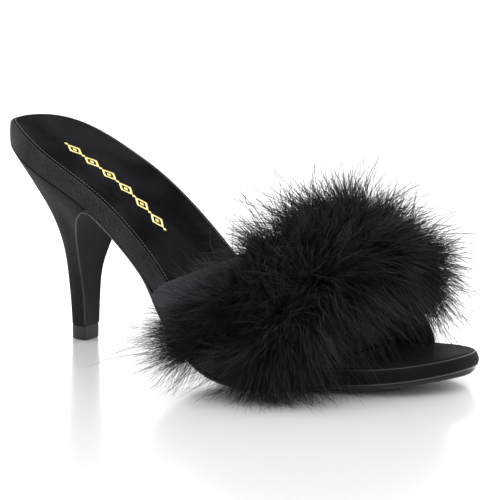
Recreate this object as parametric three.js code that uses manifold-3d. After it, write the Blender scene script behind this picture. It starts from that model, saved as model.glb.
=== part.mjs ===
// Open-toe, open-back mule on a slender covered heel, with a satin vamp that carries two rows of marabou.
// Right shoe. Units are millimetres, +Z is up, +X points to the toe and +Y to the inner side of the foot.
// The origin lies on the floor, in the middle of the flat of the forefoot tread.
import * as THREE from "three";
import { mergeVertices } from "three/addons/utils/BufferGeometryUtils.js";
import Module from "manifold-3d";

const wasm = await Module();
wasm.setup();

// Driving dimensions of the last
const footbedLength = 240; // along the top of the footbed, from heel to toe
const ballWidth = 77.6; // widest place, across the ball
const heelHeight = 80.3; // floor to the underside of the footbed, at the back
const instepHeight = 39.5; // throat of the vamp above the footbed, on the centre line

// Footbed: the wrapped insole board
const footbedThickness = 7.8; // at the waist
const footbedEdgeRadius = 1.2;
const footbedHollow = 1.2; // how far the middle of the seat sinks
// Section of its edge: in from the outline, and down from the top or up from the underside
const footbedUnderEdge = { far: 7, near: 0.9, corner: 0.15, rise: 0.7 };
const footbedTopEdge = { soften: 0.3, rim: 5, rimSinks: 0.1, bed: 12, bedSinks: 0.7 };
const footbedFullHalf = 16; // where the half width is less, the section of the edge is squeezed

// Sock lining, let into the footbed
const liningThickness = 1.1;
const liningRim = 1.9; // footbed edge left bare around the lining
const liningProud = 0.3; // the lining stands this far above the footbed
const liningDip = 0.4; // how far its middle dips, and its cut edge rolls down
const liningRoll = 0.5; // width of that edge
const liningFlat = 0.45; // share of the half width that the dip is flat over
const liningEndsAt = 0.8; // share of the footbed's length, under the vamp

// Outsole
const outsoleThickness = 2.2;
const outsoleInset = 1.3; // the outsole ends this far inside the footbed's edge at the toe
const outsoleEdgeLift = 0.8; // how far the tread's rim is rounded up
const treadFlat = 0.45; // depth ground off the forefoot so that it stands flat
const outsoleFromBreast = 2; // the outsole starts this far ahead of the heel's breast
const outsoleFullHalf = 10; // where the half width is less, its edge is squeezed
// Section of its edge in widths or heights of the lift, and how far the top edge draws in
const outsoleEdge = { flatEnds: 5, rise: 0.6, side: 1.7, topIn: 0.3 };

// Vamp
const vampWall = 1.6;
const lastingMargin = 8; // edge of the vamp that is turned under the footbed
const lastingThickness = 1.2;
const lastingBreak = { under: 1.2, bulge: 0.3, low: 0.5, high: 1.4 }; // how the vamp turns under the footbed
const rebateBeyond = 3; // the rebate is cut this far outside the footbed's edge
const rebateBelow = 1; // and this far below its underside

// Heel and its top lift
const heelInset = 0.4; // the heel's cover lies this far inside the footbed's edge
const breastAt = 0.266; // share of the footbed's length where the heel ends in front
const liftHeight = 5.7;
const liftHalfWidth = 4.7;
const liftLength = 8.6;
const liftBreastFromBack = 37.5; // breast of the top lift, ahead of the heel's back
const breastHollow = 0.22; // share of the local half width that the breast is hollowed
const hollowEnds = 1.05; // the hollow runs out over the seat by this ratio
const liftSquareness = 2.8; // power of the lift's outline: 2 is an ellipse, more is squarer
const liftChamfer = { width: 0.5, height: 0.6, edge: 0.1 };
const seatCrowding = 0.9; // power that crowds the ribs towards the heel's back
const seatTrim = { above: 3, beyond: 6, to: 0.5, high: 30 }; // block that trims the heel to the footbed

// Marabou rows
const rollRadius = 16.5;
const rollEndsAbove = 7; // height of the roll's middle above the vamp, at the ends of a row
const lockLength = 38; // from the roll's middle to the tip of a middling lock
const lockRadius = 5.4;
const locksAlong = 9; // locks from end to end of a row
const outerEnd = 0.85; // size of the roll and its locks at the outer end of a row, as a share of the top
const innerEnd = 0.42; // and at the inner end, where the down is sparser
const innerFall = 1.6; // how soon it gets sparser, as a power
const locksOffFloor = 1.6;
const rollAround = 9; // sides of the roll
const rollBumps = 0.12; // unevenness of the roll, as a share of its radius
const rollRise = 0.7; // power of the roll's rise from the ends to the top
const lockUneven = { place: 0.022, stagger: 0.02, lean: 0.15, length: 0.14 };
const lockDroop = { least: 0.1, most: 0.4, from: 0.2 }; // shares of a lock's length
const lockArch = 0.2; // how far a lock arches up between root and tip, as a share of its length
const lockStops = [
  { share: 0, size: 0.8 },
  { share: 0.5, size: 1 },
  { share: 0.82, size: 0.55 },
  { share: 1, size: 0.08 },
];
// How far the room that the down stays out of reaches past the vamp and the sole
const clearEnds = 0.04; // share of the vamp's length, at the throat and at the toe
const clearUnderVamp = 2;
const clearUnderSole = 1.2;
const clearBesideSole = 1.4; // widths of the vamp's wall

// Gap between pieces that meet
const clearance = 0.3;

// Share of the length that is left off where an outline closes to a point
const endSliver = 0.0006;
const seatSliver = 0.0004;

// The last, heel to toe. "at" is a share of footbedLength, "centre" and "half" are shares of ballWidth,
// with the centre positive to the inner side, "pitch" is a share of the steepest pitch and "board" is a share
// of footbedThickness.
const lastRows = [
  { at: 0.0, centre: -0.004, half: 0.288, pitch: -0.12, board: 1.12 },
  { at: 0.1, centre: -0.044, half: 0.322, pitch: 0.46, board: 1.11 },
  { at: 0.22, centre: -0.053, half: 0.338, pitch: 0.57, board: 1.0 },
  { at: 0.34, centre: -0.048, half: 0.338, pitch: 0.845, board: 1.0 },
  { at: 0.46, centre: -0.035, half: 0.358, pitch: 1.0, board: 0.98 },
  { at: 0.57, centre: -0.05, half: 0.442, pitch: 0.77, board: 0.93 },
  { at: 0.67, centre: -0.052, half: 0.5, pitch: 0.15, board: 0.9 },
  { at: 0.78, centre: -0.004, half: 0.464, pitch: -0.085, board: 0.89 },
  { at: 0.89, centre: 0.043, half: 0.395, pitch: -0.085, board: 0.86 },
  { at: 1.0, centre: 0.105, half: 0.345, pitch: -0.21, board: 0.77 },
];
const heelRoundAt = 0.17; // the outline closes round the heel behind this share
const toeRoundAt = 0.865; // and round the toe ahead of this one
const toeRoundPower = 2.6;

// The vamp, throat to toe opening. "outer" and "inner" are the shares of footbedLength where its two sides
// leave the footbed, "crown" is the share below its highest line, and "rise" is a share of instepHeight.
const vampRows = [
  { along: 0.0, outer: 0.47, inner: 0.47, crown: 0.645, rise: 1.0 },
  { along: 0.35, outer: 0.6, inner: 0.6, crown: 0.7, rise: 0.93 },
  { along: 0.7, outer: 0.725, inner: 0.742, crown: 0.762, rise: 0.79 },
  { along: 1.0, outer: 0.82, inner: 0.862, crown: 0.812, rise: 0.63 },
];
const vampFullness = 2.25; // power of the arch: 2 is an ellipse, more is squarer

// How the heel opens out from the top lift to the seat. "up" is a share of the height, and each other
// column is the share of the way from lift to seat, for the back, the sides and the lip of the breast.
const heelRows = [
  { up: 0.0, back: 0.0, side: 0.0, lip: 0.0 },
  { up: 0.12, back: 0.025, side: 0.02, lip: 0.0 },
  { up: 0.25, back: 0.065, side: 0.05, lip: 0.0 },
  { up: 0.36, back: 0.105, side: 0.095, lip: 0.0 },
  { up: 0.46, back: 0.165, side: 0.165, lip: 0.02 },
  { up: 0.56, back: 0.265, side: 0.265, lip: 0.08 },
  { up: 0.66, back: 0.42, side: 0.38, lip: 0.155 },
  { up: 0.75, back: 0.6, side: 0.505, lip: 0.26 },
  { up: 0.83, back: 0.75, side: 0.65, lip: 0.4 },
  { up: 0.9, back: 0.87, side: 0.8, lip: 0.58 },
  { up: 0.96, back: 0.955, side: 0.925, lip: 0.81 },
  { up: 1.0, back: 1.0, side: 1.0, lip: 1.0 },
];

// How far the outsole's edge stands out from its line at the toe, in widths of the vamp's wall.
const outsoleRows = [
  { at: 0.0, grow: 0.0 },
  { at: 0.42, grow: 0.1 },
  { at: 0.5, grow: 1.7 },
  { at: 0.8, grow: 1.7 },
  { at: 0.88, grow: 0.2 },
  { at: 1.0, grow: 0.0 },
];

// Rows of marabou. "side" and "crown" place each row along the vamp, at its ends and over the top, where its
// middle stands "above" the vamp. "facing" is 1 for the row ahead of the parting, and "fans" says how far
// each of a group of locks leans ahead.
const marabouRows = [
  {
    name: "marabou_rear_row", side: 0.38, crown: 0.62, above: 13, facing: -1,
    fans: [-1.5, -0.7, -0.1, 0.5],
  },
  {
    name: "marabou_front_row", side: 0.74, crown: 0.94, above: 11, facing: 1,
    fans: [-0.5, 0.05, 0.6, 1.2, 2.2],
  },
];

// Smooth curve through one column of a table, with the slope at a row taken from its neighbours.
function column(rows, key, name) {
  const slope = rows.map((row, i) => {
    const a = rows[Math.max(0, i - 1)];
    const b = rows[Math.min(rows.length - 1, i + 1)];
    return (b[name] - a[name]) / (b[key] - a[key]);
  });
  return (at) => {
    let i = rows.findIndex((row) => row[key] > at) - 1;
    if (i === -2) i = rows.length - 2;
    if (i < 0) i = 0;
    const span = rows[i + 1][key] - rows[i][key];
    const s = (at - rows[i][key]) / span;
    if (s < 0) return rows[0][name] + slope[0] * (at - rows[0][key]);
    if (s > 1) return rows[i + 1][name] + slope[i + 1] * (at - rows[i + 1][key]);
    const s2 = s * s;
    const s3 = s2 * s;
    return (
      (2 * s3 - 3 * s2 + 1) * rows[i][name] +
      (s3 - 2 * s2 + s) * span * slope[i] +
      (3 * s2 - 2 * s3) * rows[i + 1][name] +
      (s3 - s2) * span * slope[i + 1]
    );
  };
}

const centreShare = column(lastRows, "at", "centre");
const halfShare = column(lastRows, "at", "half");
const pitchShare = column(lastRows, "at", "pitch");
const boardShare = column(lastRows, "at", "board");

// Thickness of the footbed at a share of the length.
function boardAt(at) {
  return footbedThickness * boardShare(at);
}

// Footbed and outsole together.
function sandwichAt(at) {
  return boardAt(at) + clearance + outsoleThickness;
}

// Side view of the footbed's top, walked in short steps, and set down so that the outsole meets the floor.
// "tread" is the height of the outsole's underside.
const spineSteps = 480;
function walkSpine(steepest) {
  const points = [{ x: 0, z: 0, pitch: pitchShare(0) * steepest }];
  const step = footbedLength / spineSteps;
  for (let i = 1; i <= spineSteps; i += 1) {
    const middle = pitchShare((i - 0.5) / spineSteps) * steepest;
    const last = points[i - 1];
    points.push({
      x: last.x + step * Math.cos(middle),
      z: last.z - step * Math.sin(middle),
      pitch: pitchShare(i / spineSteps) * steepest,
    });
  }
  points.forEach((p, i) => (p.tread = p.z - sandwichAt(i / spineSteps) * Math.cos(p.pitch)));
  const lowest = Math.min(...points.slice(spineSteps / 2).map((p) => p.tread));
  points.forEach((p) => {
    p.z -= lowest + treadFlat;
    p.tread -= lowest + treadFlat;
  });
  return points;
}

// The steepest pitch is the one that gives the heel height.
function spineForHeel() {
  let low = 0.1;
  let high = 1.4;
  for (let i = 0; i < 40; i += 1) {
    const middle = (low + high) / 2;
    const underside = walkSpine(middle)[0].z - boardAt(0);
    if (underside < heelHeight) low = middle;
    else high = middle;
  }
  return walkSpine(high);
}
const spine = spineForHeel();

function spineAt(at) {
  const f = THREE.MathUtils.clamp(at, 0, 1) * spineSteps;
  const i = Math.min(spineSteps - 1, Math.floor(f));
  const mix = (name) => THREE.MathUtils.lerp(spine[i][name], spine[i + 1][name], f - i);
  return { x: mix("x"), z: mix("z"), pitch: mix("pitch") };
}

// Half width of the outline at a share of the length, drawn in by inset all round.
function halfWidth(at, inset = 0) {
  const end = inset / footbedLength;
  let close = 1;
  if (at < heelRoundAt) {
    close = Math.sqrt(Math.max(0, 1 - ((heelRoundAt - at) / (heelRoundAt - end)) ** 2));
  }
  if (at > toeRoundAt) {
    close = Math.sqrt(Math.max(0, 1 - ((at - toeRoundAt) / (1 - end - toeRoundAt)) ** toeRoundPower));
  }
  return (halfShare(at) * ballWidth - inset) * close;
}

// Point at a share of the length, so far to the side of the centre line and so far above the footbed's top.
function onLast(at, across, above) {
  const s = spineAt(at);
  return new THREE.Vector3(
    s.x + above * Math.sin(s.pitch),
    centreShare(at) * ballWidth + across,
    s.z + above * Math.cos(s.pitch),
  );
}

// Shares from one end to the other, closer together at an end that is round.
function shares(from, to, count, roundStart, roundEnd) {
  return Array.from({ length: count + 1 }, (_, i) => {
    const s = i / count;
    let eased = s;
    if (roundStart && roundEnd) eased = (1 - Math.cos(Math.PI * s)) / 2;
    else if (roundStart) eased = 1 - Math.cos((Math.PI / 2) * s);
    else if (roundEnd) eased = Math.sin((Math.PI / 2) * s);
    return from + (to - from) * eased;
  });
}

// Closed geometry from points and faces, turned so that its faces point out.
function closedGeometry(points, faces) {
  const flat = new Float32Array(points.flatMap((p) => [p.x, p.y, p.z]));
  const volume = faces.reduce((sum, [a, b, c]) => {
    const cross = new THREE.Vector3().crossVectors(points[b], points[c]);
    return sum + points[a].dot(cross);
  }, 0);
  const index = volume < 0 ? faces.flatMap(([a, b, c]) => [a, c, b]) : faces.flat();
  return new THREE.BufferGeometry()
    .setAttribute("position", new THREE.BufferAttribute(flat, 3))
    .setIndex(index);
}

// Skin over closed rings of points, with a fan over each end.
function loft(rings) {
  const size = rings[0].length;
  const points = rings.flat();
  const faces = [];
  for (let r = 0; r + 1 < rings.length; r += 1) {
    for (let i = 0; i < size; i += 1) {
      const j = (i + 1) % size;
      const [a, b] = [r * size + i, r * size + j];
      faces.push([a, b, b + size], [a, b + size, a + size]);
    }
  }
  [0, rings.length - 1].forEach((r) => {
    const middle = new THREE.Vector3();
    rings[r].forEach((p) => middle.addScaledVector(p, 1 / size));
    points.push(middle);
    for (let i = 0; i < size; i += 1) {
      const j = (i + 1) % size;
      const [a, b] = r === 0 ? [j, i] : [i, j];
      faces.push([points.length - 1, r * size + a, r * size + b]);
    }
  });
  return closedGeometry(points, faces);
}

// Wall between an outer and an inner sheet of points, closed along its four edges.
function wallBetween(outer, inner) {
  const rows = outer.length;
  const size = outer[0].length;
  const points = [...outer.flat(), ...inner.flat()];
  const out = (r, i) => r * size + i;
  const inn = (r, i) => rows * size + r * size + i;
  const faces = [];
  const quad = (a, b, c, d) => faces.push([a, b, c], [a, c, d]);
  for (let r = 0; r + 1 < rows; r += 1) {
    for (let i = 0; i + 1 < size; i += 1) {
      quad(out(r, i), out(r, i + 1), out(r + 1, i + 1), out(r + 1, i));
      quad(inn(r, i), inn(r + 1, i), inn(r + 1, i + 1), inn(r, i + 1));
    }
    quad(out(r, 0), out(r + 1, 0), inn(r + 1, 0), inn(r, 0));
    quad(out(r + 1, size - 1), out(r, size - 1), inn(r, size - 1), inn(r + 1, size - 1));
  }
  for (let i = 0; i + 1 < size; i += 1) {
    quad(out(0, i + 1), out(0, i), inn(0, i), inn(0, i + 1));
    quad(out(rows - 1, i), out(rows - 1, i + 1), inn(rows - 1, i + 1), inn(rows - 1, i));
  }
  return closedGeometry(points, faces);
}

function toSolid(geometry) {
  const merged = mergeVertices(geometry, 1e-4);
  return new wasm.Manifold(
    new wasm.Mesh({
      numProp: 3,
      vertProperties: new Float32Array(merged.attributes.position.array),
      triVerts: new Uint32Array(merged.index.array),
    }),
  );
}

function toGeometry(solid) {
  const mesh = solid.getMesh();
  return new THREE.BufferGeometry()
    .setAttribute("position", new THREE.BufferAttribute(mesh.vertProperties, 3))
    .setIndex(new THREE.BufferAttribute(mesh.triVerts, 1));
}

// What is left of a trimmed solid once the loose trimmings are dropped.
function mainBody(solid) {
  return solid.decompose().reduce((a, b) => (a.volume() > b.volume() ? a : b));
}

// Slab that follows the outline, between two heights above the footbed's top. The lower one is a function.
function slab({ from, to, inset, low, high, count = 24 }) {
  const ends = [from <= 0, to >= 1];
  const start = ends[0] ? Math.max(endSliver, inset / footbedLength + endSliver) : from;
  const stop = ends[1] ? Math.min(1 - endSliver, 1 - inset / footbedLength - endSliver) : to;
  return loft(
    shares(start, stop, count, ends[0], ends[1]).map((at) => {
      const half = halfWidth(at, inset);
      return [
        onLast(at, -half, low(at)),
        onLast(at, half, low(at)),
        onLast(at, half, high),
        onLast(at, -half, high),
      ];
    }),
  );
}

// One side of the vamp leaves the footbed at its own share of the length, a wall's width outside it.
const vampOuterAt = column(vampRows, "along", "outer");
const vampInnerAt = column(vampRows, "along", "inner");
const vampCrownAt = column(vampRows, "along", "crown");
const vampRise = column(vampRows, "along", "rise");

function vampSide(along, side, outside, above) {
  const at = side < 0 ? vampOuterAt(along) : vampInnerAt(along);
  return onLast(at, side * (halfWidth(at) + outside), above);
}

function vampCrown(along) {
  const at = vampCrownAt(along);
  const p = onLast(at, 0, 0);
  p.z += vampRise(along) * instepHeight;
  return p;
}

// Outward direction at the crown, square to the crown line in the side view.
function crownNormal(along) {
  const step = 0.02;
  const ahead = vampCrown(along + step).sub(vampCrown(along - step));
  return new THREE.Vector3(-ahead.z, 0, ahead.x).normalize();
}

// Stations of the vamp from throat to toe opening, and over its arch
const vampStations = shares(0, 1, 12);
const vampTurns = shares(0, 1, 20, true, true);

// Point of the vamp's arch: turn runs from 0 at the outer side to 1 at the inner side, and lift is measured
// outwards from the face that lies against the foot.
function vampArch(along, turn, lift) {
  const sideLift = clearance + lift;
  const outer = vampSide(along, -1, sideLift, 0);
  const inner = vampSide(along, 1, sideLift, 0);
  const middle = outer.clone().add(inner).multiplyScalar(0.5);
  const crown = vampCrown(along).addScaledVector(crownNormal(along), lift - vampWall);
  const angle = Math.PI * turn;
  const power = 2 / vampFullness;
  const across = Math.sign(Math.cos(angle)) * Math.abs(Math.cos(angle)) ** power;
  const rise = Math.abs(Math.sin(angle)) ** power;
  return middle
    .clone()
    .addScaledVector(outer.clone().sub(middle), across)
    .addScaledVector(crown.sub(middle), rise);
}

function footbed() {
  const r = footbedEdgeRadius;
  const [under, top] = [footbedUnderEdge, footbedTopEdge];
  const profile = (t) => [
    [under.far, -t, 0],
    [under.near, -t, 0],
    [under.corner, -t + under.rise, 0],
    [0, -t / 2, 0],
    [0, -r, 0],
    [top.soften * r, -top.soften * r, 0],
    [r, 0, 0],
    [top.rim, 0, top.rimSinks],
    [top.bed, 0, top.bedSinks],
  ];
  const rings = shares(endSliver, 1 - endSliver, 36, true, true).map((at) => {
    const half = halfWidth(at);
    const tight = Math.min(1, half / footbedFullHalf);
    const sink = footbedHollow * tight;
    const side = (s) =>
      profile(boardAt(at)).map(([inset, above, share]) =>
        onLast(at, s * (half - inset * tight), above - share * sink),
      );
    return [...side(1), ...side(-1).reverse()];
  });
  let solid = toSolid(loft(rings));
  solid = solid.subtract(toSolid(liningRecess()));
  lastingRebates().forEach((rebate) => (solid = solid.subtract(toSolid(rebate))));
  return toGeometry(solid);
}

// Bed of the sock lining in the footbed, one clearance larger than the lining.
function liningRecess() {
  return slab({
    from: 0,
    to: liningEndsAt + clearance / footbedLength,
    inset: liningRim,
    low: () => liningProud - liningThickness - clearance,
    high: footbedThickness,
    count: 34,
  });
}

function sockLining() {
  const inset = liningRim + clearance;
  const low = liningProud - liningThickness;
  const start = inset / footbedLength + endSliver;
  return loft(
    shares(start, liningEndsAt, 34, true, false).map((at) => {
      const half = halfWidth(at, inset);
      const sink = liningDip * Math.min(1, half / footbedFullHalf);
      const roll = Math.min(liningRoll, half / 3);
      return [
        onLast(at, -half, low),
        onLast(at, half, low),
        onLast(at, half, liningProud - liningDip),
        onLast(at, half - roll, liningProud),
        onLast(at, liningFlat * half, liningProud - sink),
        onLast(at, -liningFlat * half, liningProud - sink),
        onLast(at, -half + roll, liningProud),
        onLast(at, -half, liningProud - liningDip),
      ];
    }),
  );
}

// Rebates under the footbed's edge that take the vamp's lasting margins.
function lastingRebates() {
  const spare = clearance / footbedLength;
  return [-1, 1].map((side) => {
    const at = side < 0 ? vampOuterAt : vampInnerAt;
    return loft(
      shares(at(0) - spare, at(1) + spare, 16).map((s) => {
        const edge = side * (halfWidth(s) + rebateBeyond);
        const inside = side * (halfWidth(s) - lastingMargin - clearance);
        const bottom = -boardAt(s);
        const top = bottom + lastingThickness + clearance;
        return [
          onLast(s, edge, bottom - rebateBelow),
          onLast(s, edge, top),
          onLast(s, inside, top),
          onLast(s, inside, bottom - rebateBelow),
        ];
      }),
    );
  });
}

function outsole() {
  const grow = column(outsoleRows, "at", "grow");
  const start = breastAt + outsoleFromBreast / footbedLength;
  const stop = 1 - outsoleInset / footbedLength - endSliver;
  const rings = shares(start, stop, 40, false, true).map((at) => {
    const half = halfWidth(at, outsoleInset) + grow(at) * vampWall;
    const top = -boardAt(at) - clearance;
    const low = top - outsoleThickness;
    const tight = Math.min(1, half / outsoleFullHalf);
    const side = (s) => [
      onLast(at, s * (half - outsoleEdge.flatEnds * outsoleEdgeLift * tight), low),
      onLast(at, s * (half - outsoleEdgeLift * tight), low + outsoleEdge.rise * outsoleEdgeLift),
      onLast(at, s * half, low + outsoleEdge.side * outsoleEdgeLift),
      onLast(at, s * (half - outsoleEdge.topIn * tight), top),
    ];
    return [...side(1), ...side(-1).reverse()];
  });
  const floor = new THREE.BoxGeometry(2 * footbedLength, 2 * ballWidth, footbedLength);
  floor.translate(footbedLength / 2, 0, -footbedLength / 2);
  return toGeometry(toSolid(loft(rings)).subtract(toSolid(bare(floor))));
}

// Only the positions of a geometry, so that its shared corners merge.
function bare(geometry) {
  return new THREE.BufferGeometry()
    .setAttribute("position", geometry.getAttribute("position"))
    .setIndex(geometry.index);
}

function vamp() {
  // Turned-under margin and side, from the margin's edge upwards: beyond the footbed's edge, and height.
  const outerFoot = (t) => [
    [-lastingMargin, -t],
    [vampWall - lastingBreak.under, -t],
    [clearance + vampWall - lastingBreak.bulge, -t + lastingBreak.low],
    [clearance + vampWall, -t + lastingBreak.high],
    [clearance + vampWall, -t / 2],
  ];
  const innerFoot = (t) => [
    [-lastingMargin, -t + lastingThickness],
    [-lastingBreak.under, -t + lastingThickness],
    [clearance, -t + lastingThickness],
    [clearance, -t + lastingThickness + lastingBreak.low],
    [clearance, -t / 2],
  ];
  const sheet = (foot, lift) =>
    vampStations.map((along) => [
      ...foot(boardAt(vampOuterAt(along))).map(([outside, above]) => vampSide(along, -1, outside, above)),
      ...vampTurns.map((turn) => vampArch(along, turn, lift)),
      ...foot(boardAt(vampInnerAt(along)))
        .reverse()
        .map(([outside, above]) => vampSide(along, 1, outside, above)),
    ]);
  return wallBetween(sheet(outerFoot, vampWall), sheet(innerFoot, 0));
}

// Outline of the top lift at an angle that runs from the outer breast corner round the back to the inner one.
function liftPoint(turn) {
  const angle = Math.PI * (turn - 0.5);
  const power = 2 / liftSquareness;
  return {
    x: liftBreastFromBack - liftLength * Math.cos(angle) ** power,
    y: liftHalfWidth * Math.sign(Math.sin(angle)) * Math.abs(Math.sin(angle)) ** power,
    rearward: Math.cos(angle) ** power,
  };
}

const liftTurns = shares(0, 1, 16, true, true);
const breastTurns = [0.7, 0.35, 0, -0.35, -0.7]; // across the breast, inner side to outer side

function heel() {
  const back = column(heelRows, "up", "back");
  const side = column(heelRows, "up", "side");
  const lip = column(heelRows, "up", "lip");
  const seat = (at) => -boardAt(at) - clearance;
  const low = liftHeight + clearance;
  // One rib for each place round the lift, up to the place on the footbed's underside that it carries.
  const ribs = liftTurns.map((turn) => {
    const foot = liftPoint(turn);
    const hand = turn < 0.5 ? -1 : 1;
    const away = Math.abs(turn - 0.5) * 2;
    const at = breastAt * (1 - Math.cos((Math.PI / 2) * away ** seatCrowding)) + seatSliver;
    const rim = onLast(at, hand * (halfWidth(at) - heelInset) * Math.min(1, away * 40), seat(at));
    return { foot, rim, rearward: foot.rearward, hollow: 0 };
  });
  breastTurns.forEach((across) => {
    const foot = { x: liftBreastFromBack, y: liftHalfWidth * across };
    const rim = onLast(breastAt, across * (halfWidth(breastAt) - heelInset), seat(breastAt));
    ribs.push({ foot, rim, rearward: 0, hollow: 1 - across ** 2 });
  });
  const level = (up, raise) =>
    ribs.map(({ foot, rim, rearward, hollow }) => {
      const along = THREE.MathUtils.lerp(lip(up), back(up), rearward);
      const wide = side(up);
      const halfHere = liftHalfWidth + wide * (halfWidth(breastAt) - liftHalfWidth);
      const scoop = breastHollow * halfHere * hollow * Math.sin(Math.PI * Math.min(1, up * hollowEnds));
      return new THREE.Vector3(
        foot.x + (rim.x - foot.x) * along - Math.max(0, scoop),
        foot.y + (rim.y - foot.y) * wide,
        low + (rim.z - low) * up + raise,
      );
    });
  const rings = shares(0, 1, 18).map((up) => level(up, 0));
  rings.push(level(1, seatTrim.above));
  const above = slab({
    from: 0,
    to: seatTrim.to,
    inset: -seatTrim.beyond,
    low: seat,
    high: seatTrim.high - footbedThickness,
  });
  return toGeometry(toSolid(loft(rings)).subtract(toSolid(above)));
}

function topLift() {
  const section = (inset, z) => {
    const k = 1 - inset / liftHalfWidth;
    return liftTurns.map((turn) => {
      const p = liftPoint(turn);
      return new THREE.Vector3(liftBreastFromBack + (p.x - liftBreastFromBack) * k, p.y * k, z);
    });
  };
  const { width, height, edge } = liftChamfer;
  return loft([section(width, 0), section(edge, height), section(edge, liftHeight)]);
}

// Repeatable scatter between -1 and 1.
function scatter(seed) {
  const s = Math.sin(seed * 12.9898) * 43758.5453;
  return 2 * (s - Math.floor(s)) - 1;
}

// One tapering lock of down, four-sided and curving under its own weight.
function lock(root, direction, length, radius, droop) {
  const tip = root.clone().addScaledVector(direction, length);
  tip.z -= droop * length;
  const side = new THREE.Vector3(0, 0, 1).cross(direction);
  if (side.length() < 0.2) side.set(0, 1, 0);
  side.normalize();
  const other = direction.clone().cross(side).normalize();
  const rings = lockStops.map(({ share, size }) => {
    const middle = root.clone().lerp(tip, share);
    middle.z += lockArch * length * share * (1 - share);
    return [0, 1, 2, 3].map((i) => {
      const angle = (Math.PI / 2) * (i + 0.5);
      return middle
        .clone()
        .addScaledVector(side, Math.cos(angle) * radius * size)
        .addScaledVector(other, Math.sin(angle) * radius * size);
    });
  });
  return toSolid(loft(rings));
}

// Everything the marabou must stay clear of: the foot's hollow, the vamp, the footbed and the outsole.
function keepClear() {
  const arch = loft(
    [-clearEnds, ...vampStations, 1 + clearEnds].map((along) => {
      const lift = vampWall + clearance;
      const low = -footbedThickness - outsoleThickness - clearUnderVamp;
      return [
        vampSide(along, -1, clearance + lift, low),
        ...vampTurns.map((turn) => vampArch(along, turn, lift)),
        vampSide(along, 1, clearance + lift, low),
      ];
    }),
  );
  const sole = slab({
    from: 0,
    to: 1,
    inset: -clearBesideSole * vampWall - clearance,
    low: () => -footbedThickness - outsoleThickness - clearUnderSole,
    high: liningProud + clearance,
    count: 40,
  });
  return [toSolid(arch), toSolid(sole)];
}

// Place on a row at a turn over the vamp: the roll's middle, and the ways out and ahead from there.
function rowFrame({ side, crown, above }, turn) {
  const topward = Math.sin(Math.PI * turn);
  const along = THREE.MathUtils.lerp(side, crown, topward);
  const height = THREE.MathUtils.lerp(rollEndsAbove, above, topward ** rollRise);
  const middle = vampArch(along, turn, vampWall + height);
  const out = vampArch(along, turn, vampWall + height + rollRadius).sub(middle).normalize();
  const step = 0.05;
  const ahead = vampArch(along + step, turn, vampWall)
    .sub(vampArch(along - step, turn, vampWall))
    .normalize();
  const [end, fall] = turn < 0.5 ? [outerEnd, 1] : [innerEnd, innerFall];
  const size = THREE.MathUtils.lerp(end, 1, topward ** fall);
  return { middle, out, ahead, size };
}

function marabouRow(row, seed) {
  const rings = shares(0, 1, 14).map((turn, i) => {
    const { middle, out, ahead, size } = rowFrame(row, turn);
    return Array.from({ length: rollAround }, (_, k) => {
      const angle = (2 * Math.PI * k) / rollAround;
      const bumpy = rollRadius * size * (1 + rollBumps * scatter(seed + i * rollAround + k));
      return middle
        .clone()
        .addScaledVector(ahead, Math.cos(angle) * bumpy)
        .addScaledVector(out, Math.sin(angle) * bumpy);
    });
  });
  const locks = [];
  shares(0.03, 0.97, locksAlong - 1).forEach((turn, i) => {
    row.fans.forEach((fan, k) => {
      const pick = seed + 7 * i + 31 * k;
      const stagger = k % 2 ? lockUneven.stagger : -lockUneven.stagger;
      const place = THREE.MathUtils.clamp(turn + lockUneven.place * scatter(pick) + stagger, 0, 1);
      const { middle, out, ahead, size } = rowFrame(row, place);
      const direction = out
        .clone()
        .addScaledVector(ahead, fan + lockUneven.lean * scatter(pick + 3))
        .normalize();
      const length = lockLength * size * (1 + lockUneven.length * scatter(pick + 5));
      const leaning = Math.max(0, fan - lockDroop.from);
      const droop = lockDroop.least + lockDroop.most * Math.sin(Math.PI * place) * leaning;
      locks.push(lock(middle, direction, length, lockRadius, droop));
    });
  });
  let solid = wasm.Manifold.union([toSolid(loft(rings)), ...locks]);
  keepClear().forEach((block) => (solid = solid.subtract(block)));
  // The rows part on a sheet between them, and stay off the floor.
  const floor = new THREE.BoxGeometry(3 * footbedLength, 4 * ballWidth, footbedLength);
  floor.translate(footbedLength / 2, 0, locksOffFloor - footbedLength / 2);
  solid = solid.subtract(toSolid(bare(floor))).subtract(toSolid(acrossParting(row.facing)));
  return toGeometry(mainBody(solid));
}

// Block that fills the far side of the parting, for the row behind it (-1) or ahead of it (1).
function acrossParting(facing) {
  const between = (name) => (marabouRows[0][name] + marabouRows[1][name]) / 2;
  const sides = between("side");
  const base = vampArch(sides, 0, 0).add(vampArch(sides, 1, 0)).multiplyScalar(0.5);
  const up = vampArch(between("crown"), 0.5, 0).sub(base).normalize();
  const ahead = new THREE.Vector3(up.z, 0, -up.x);
  const block = new THREE.BoxGeometry(footbedLength, 6 * ballWidth, 2 * footbedLength);
  block.translate((-facing * (footbedLength - clearance)) / 2, 0, 0);
  const turn = new THREE.Matrix4().makeBasis(ahead, new THREE.Vector3(0, 1, 0), up).setPosition(base);
  return bare(block).applyMatrix4(turn);
}

// Colours and finish, from the shoe
const satin = () => new THREE.MeshStandardMaterial({ color: 0x15161a, roughness: 0.45, metalness: 0 });
const suede = () => new THREE.MeshStandardMaterial({ color: 0x0c0c0e, roughness: 0.95, metalness: 0 });
const down = () => new THREE.MeshStandardMaterial({ color: 0x08080a, roughness: 0.85, metalness: 0 });
const resin = () => new THREE.MeshStandardMaterial({ color: 0x0a0a0b, roughness: 0.25, metalness: 0 });
const rubber = () => new THREE.MeshStandardMaterial({ color: 0x111113, roughness: 0.5, metalness: 0 });

const shoe = new THREE.Group();
function add(name, geometry, material) {
  const mesh = new THREE.Mesh(geometry, material);
  mesh.name = name;
  shoe.add(mesh);
}

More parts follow.
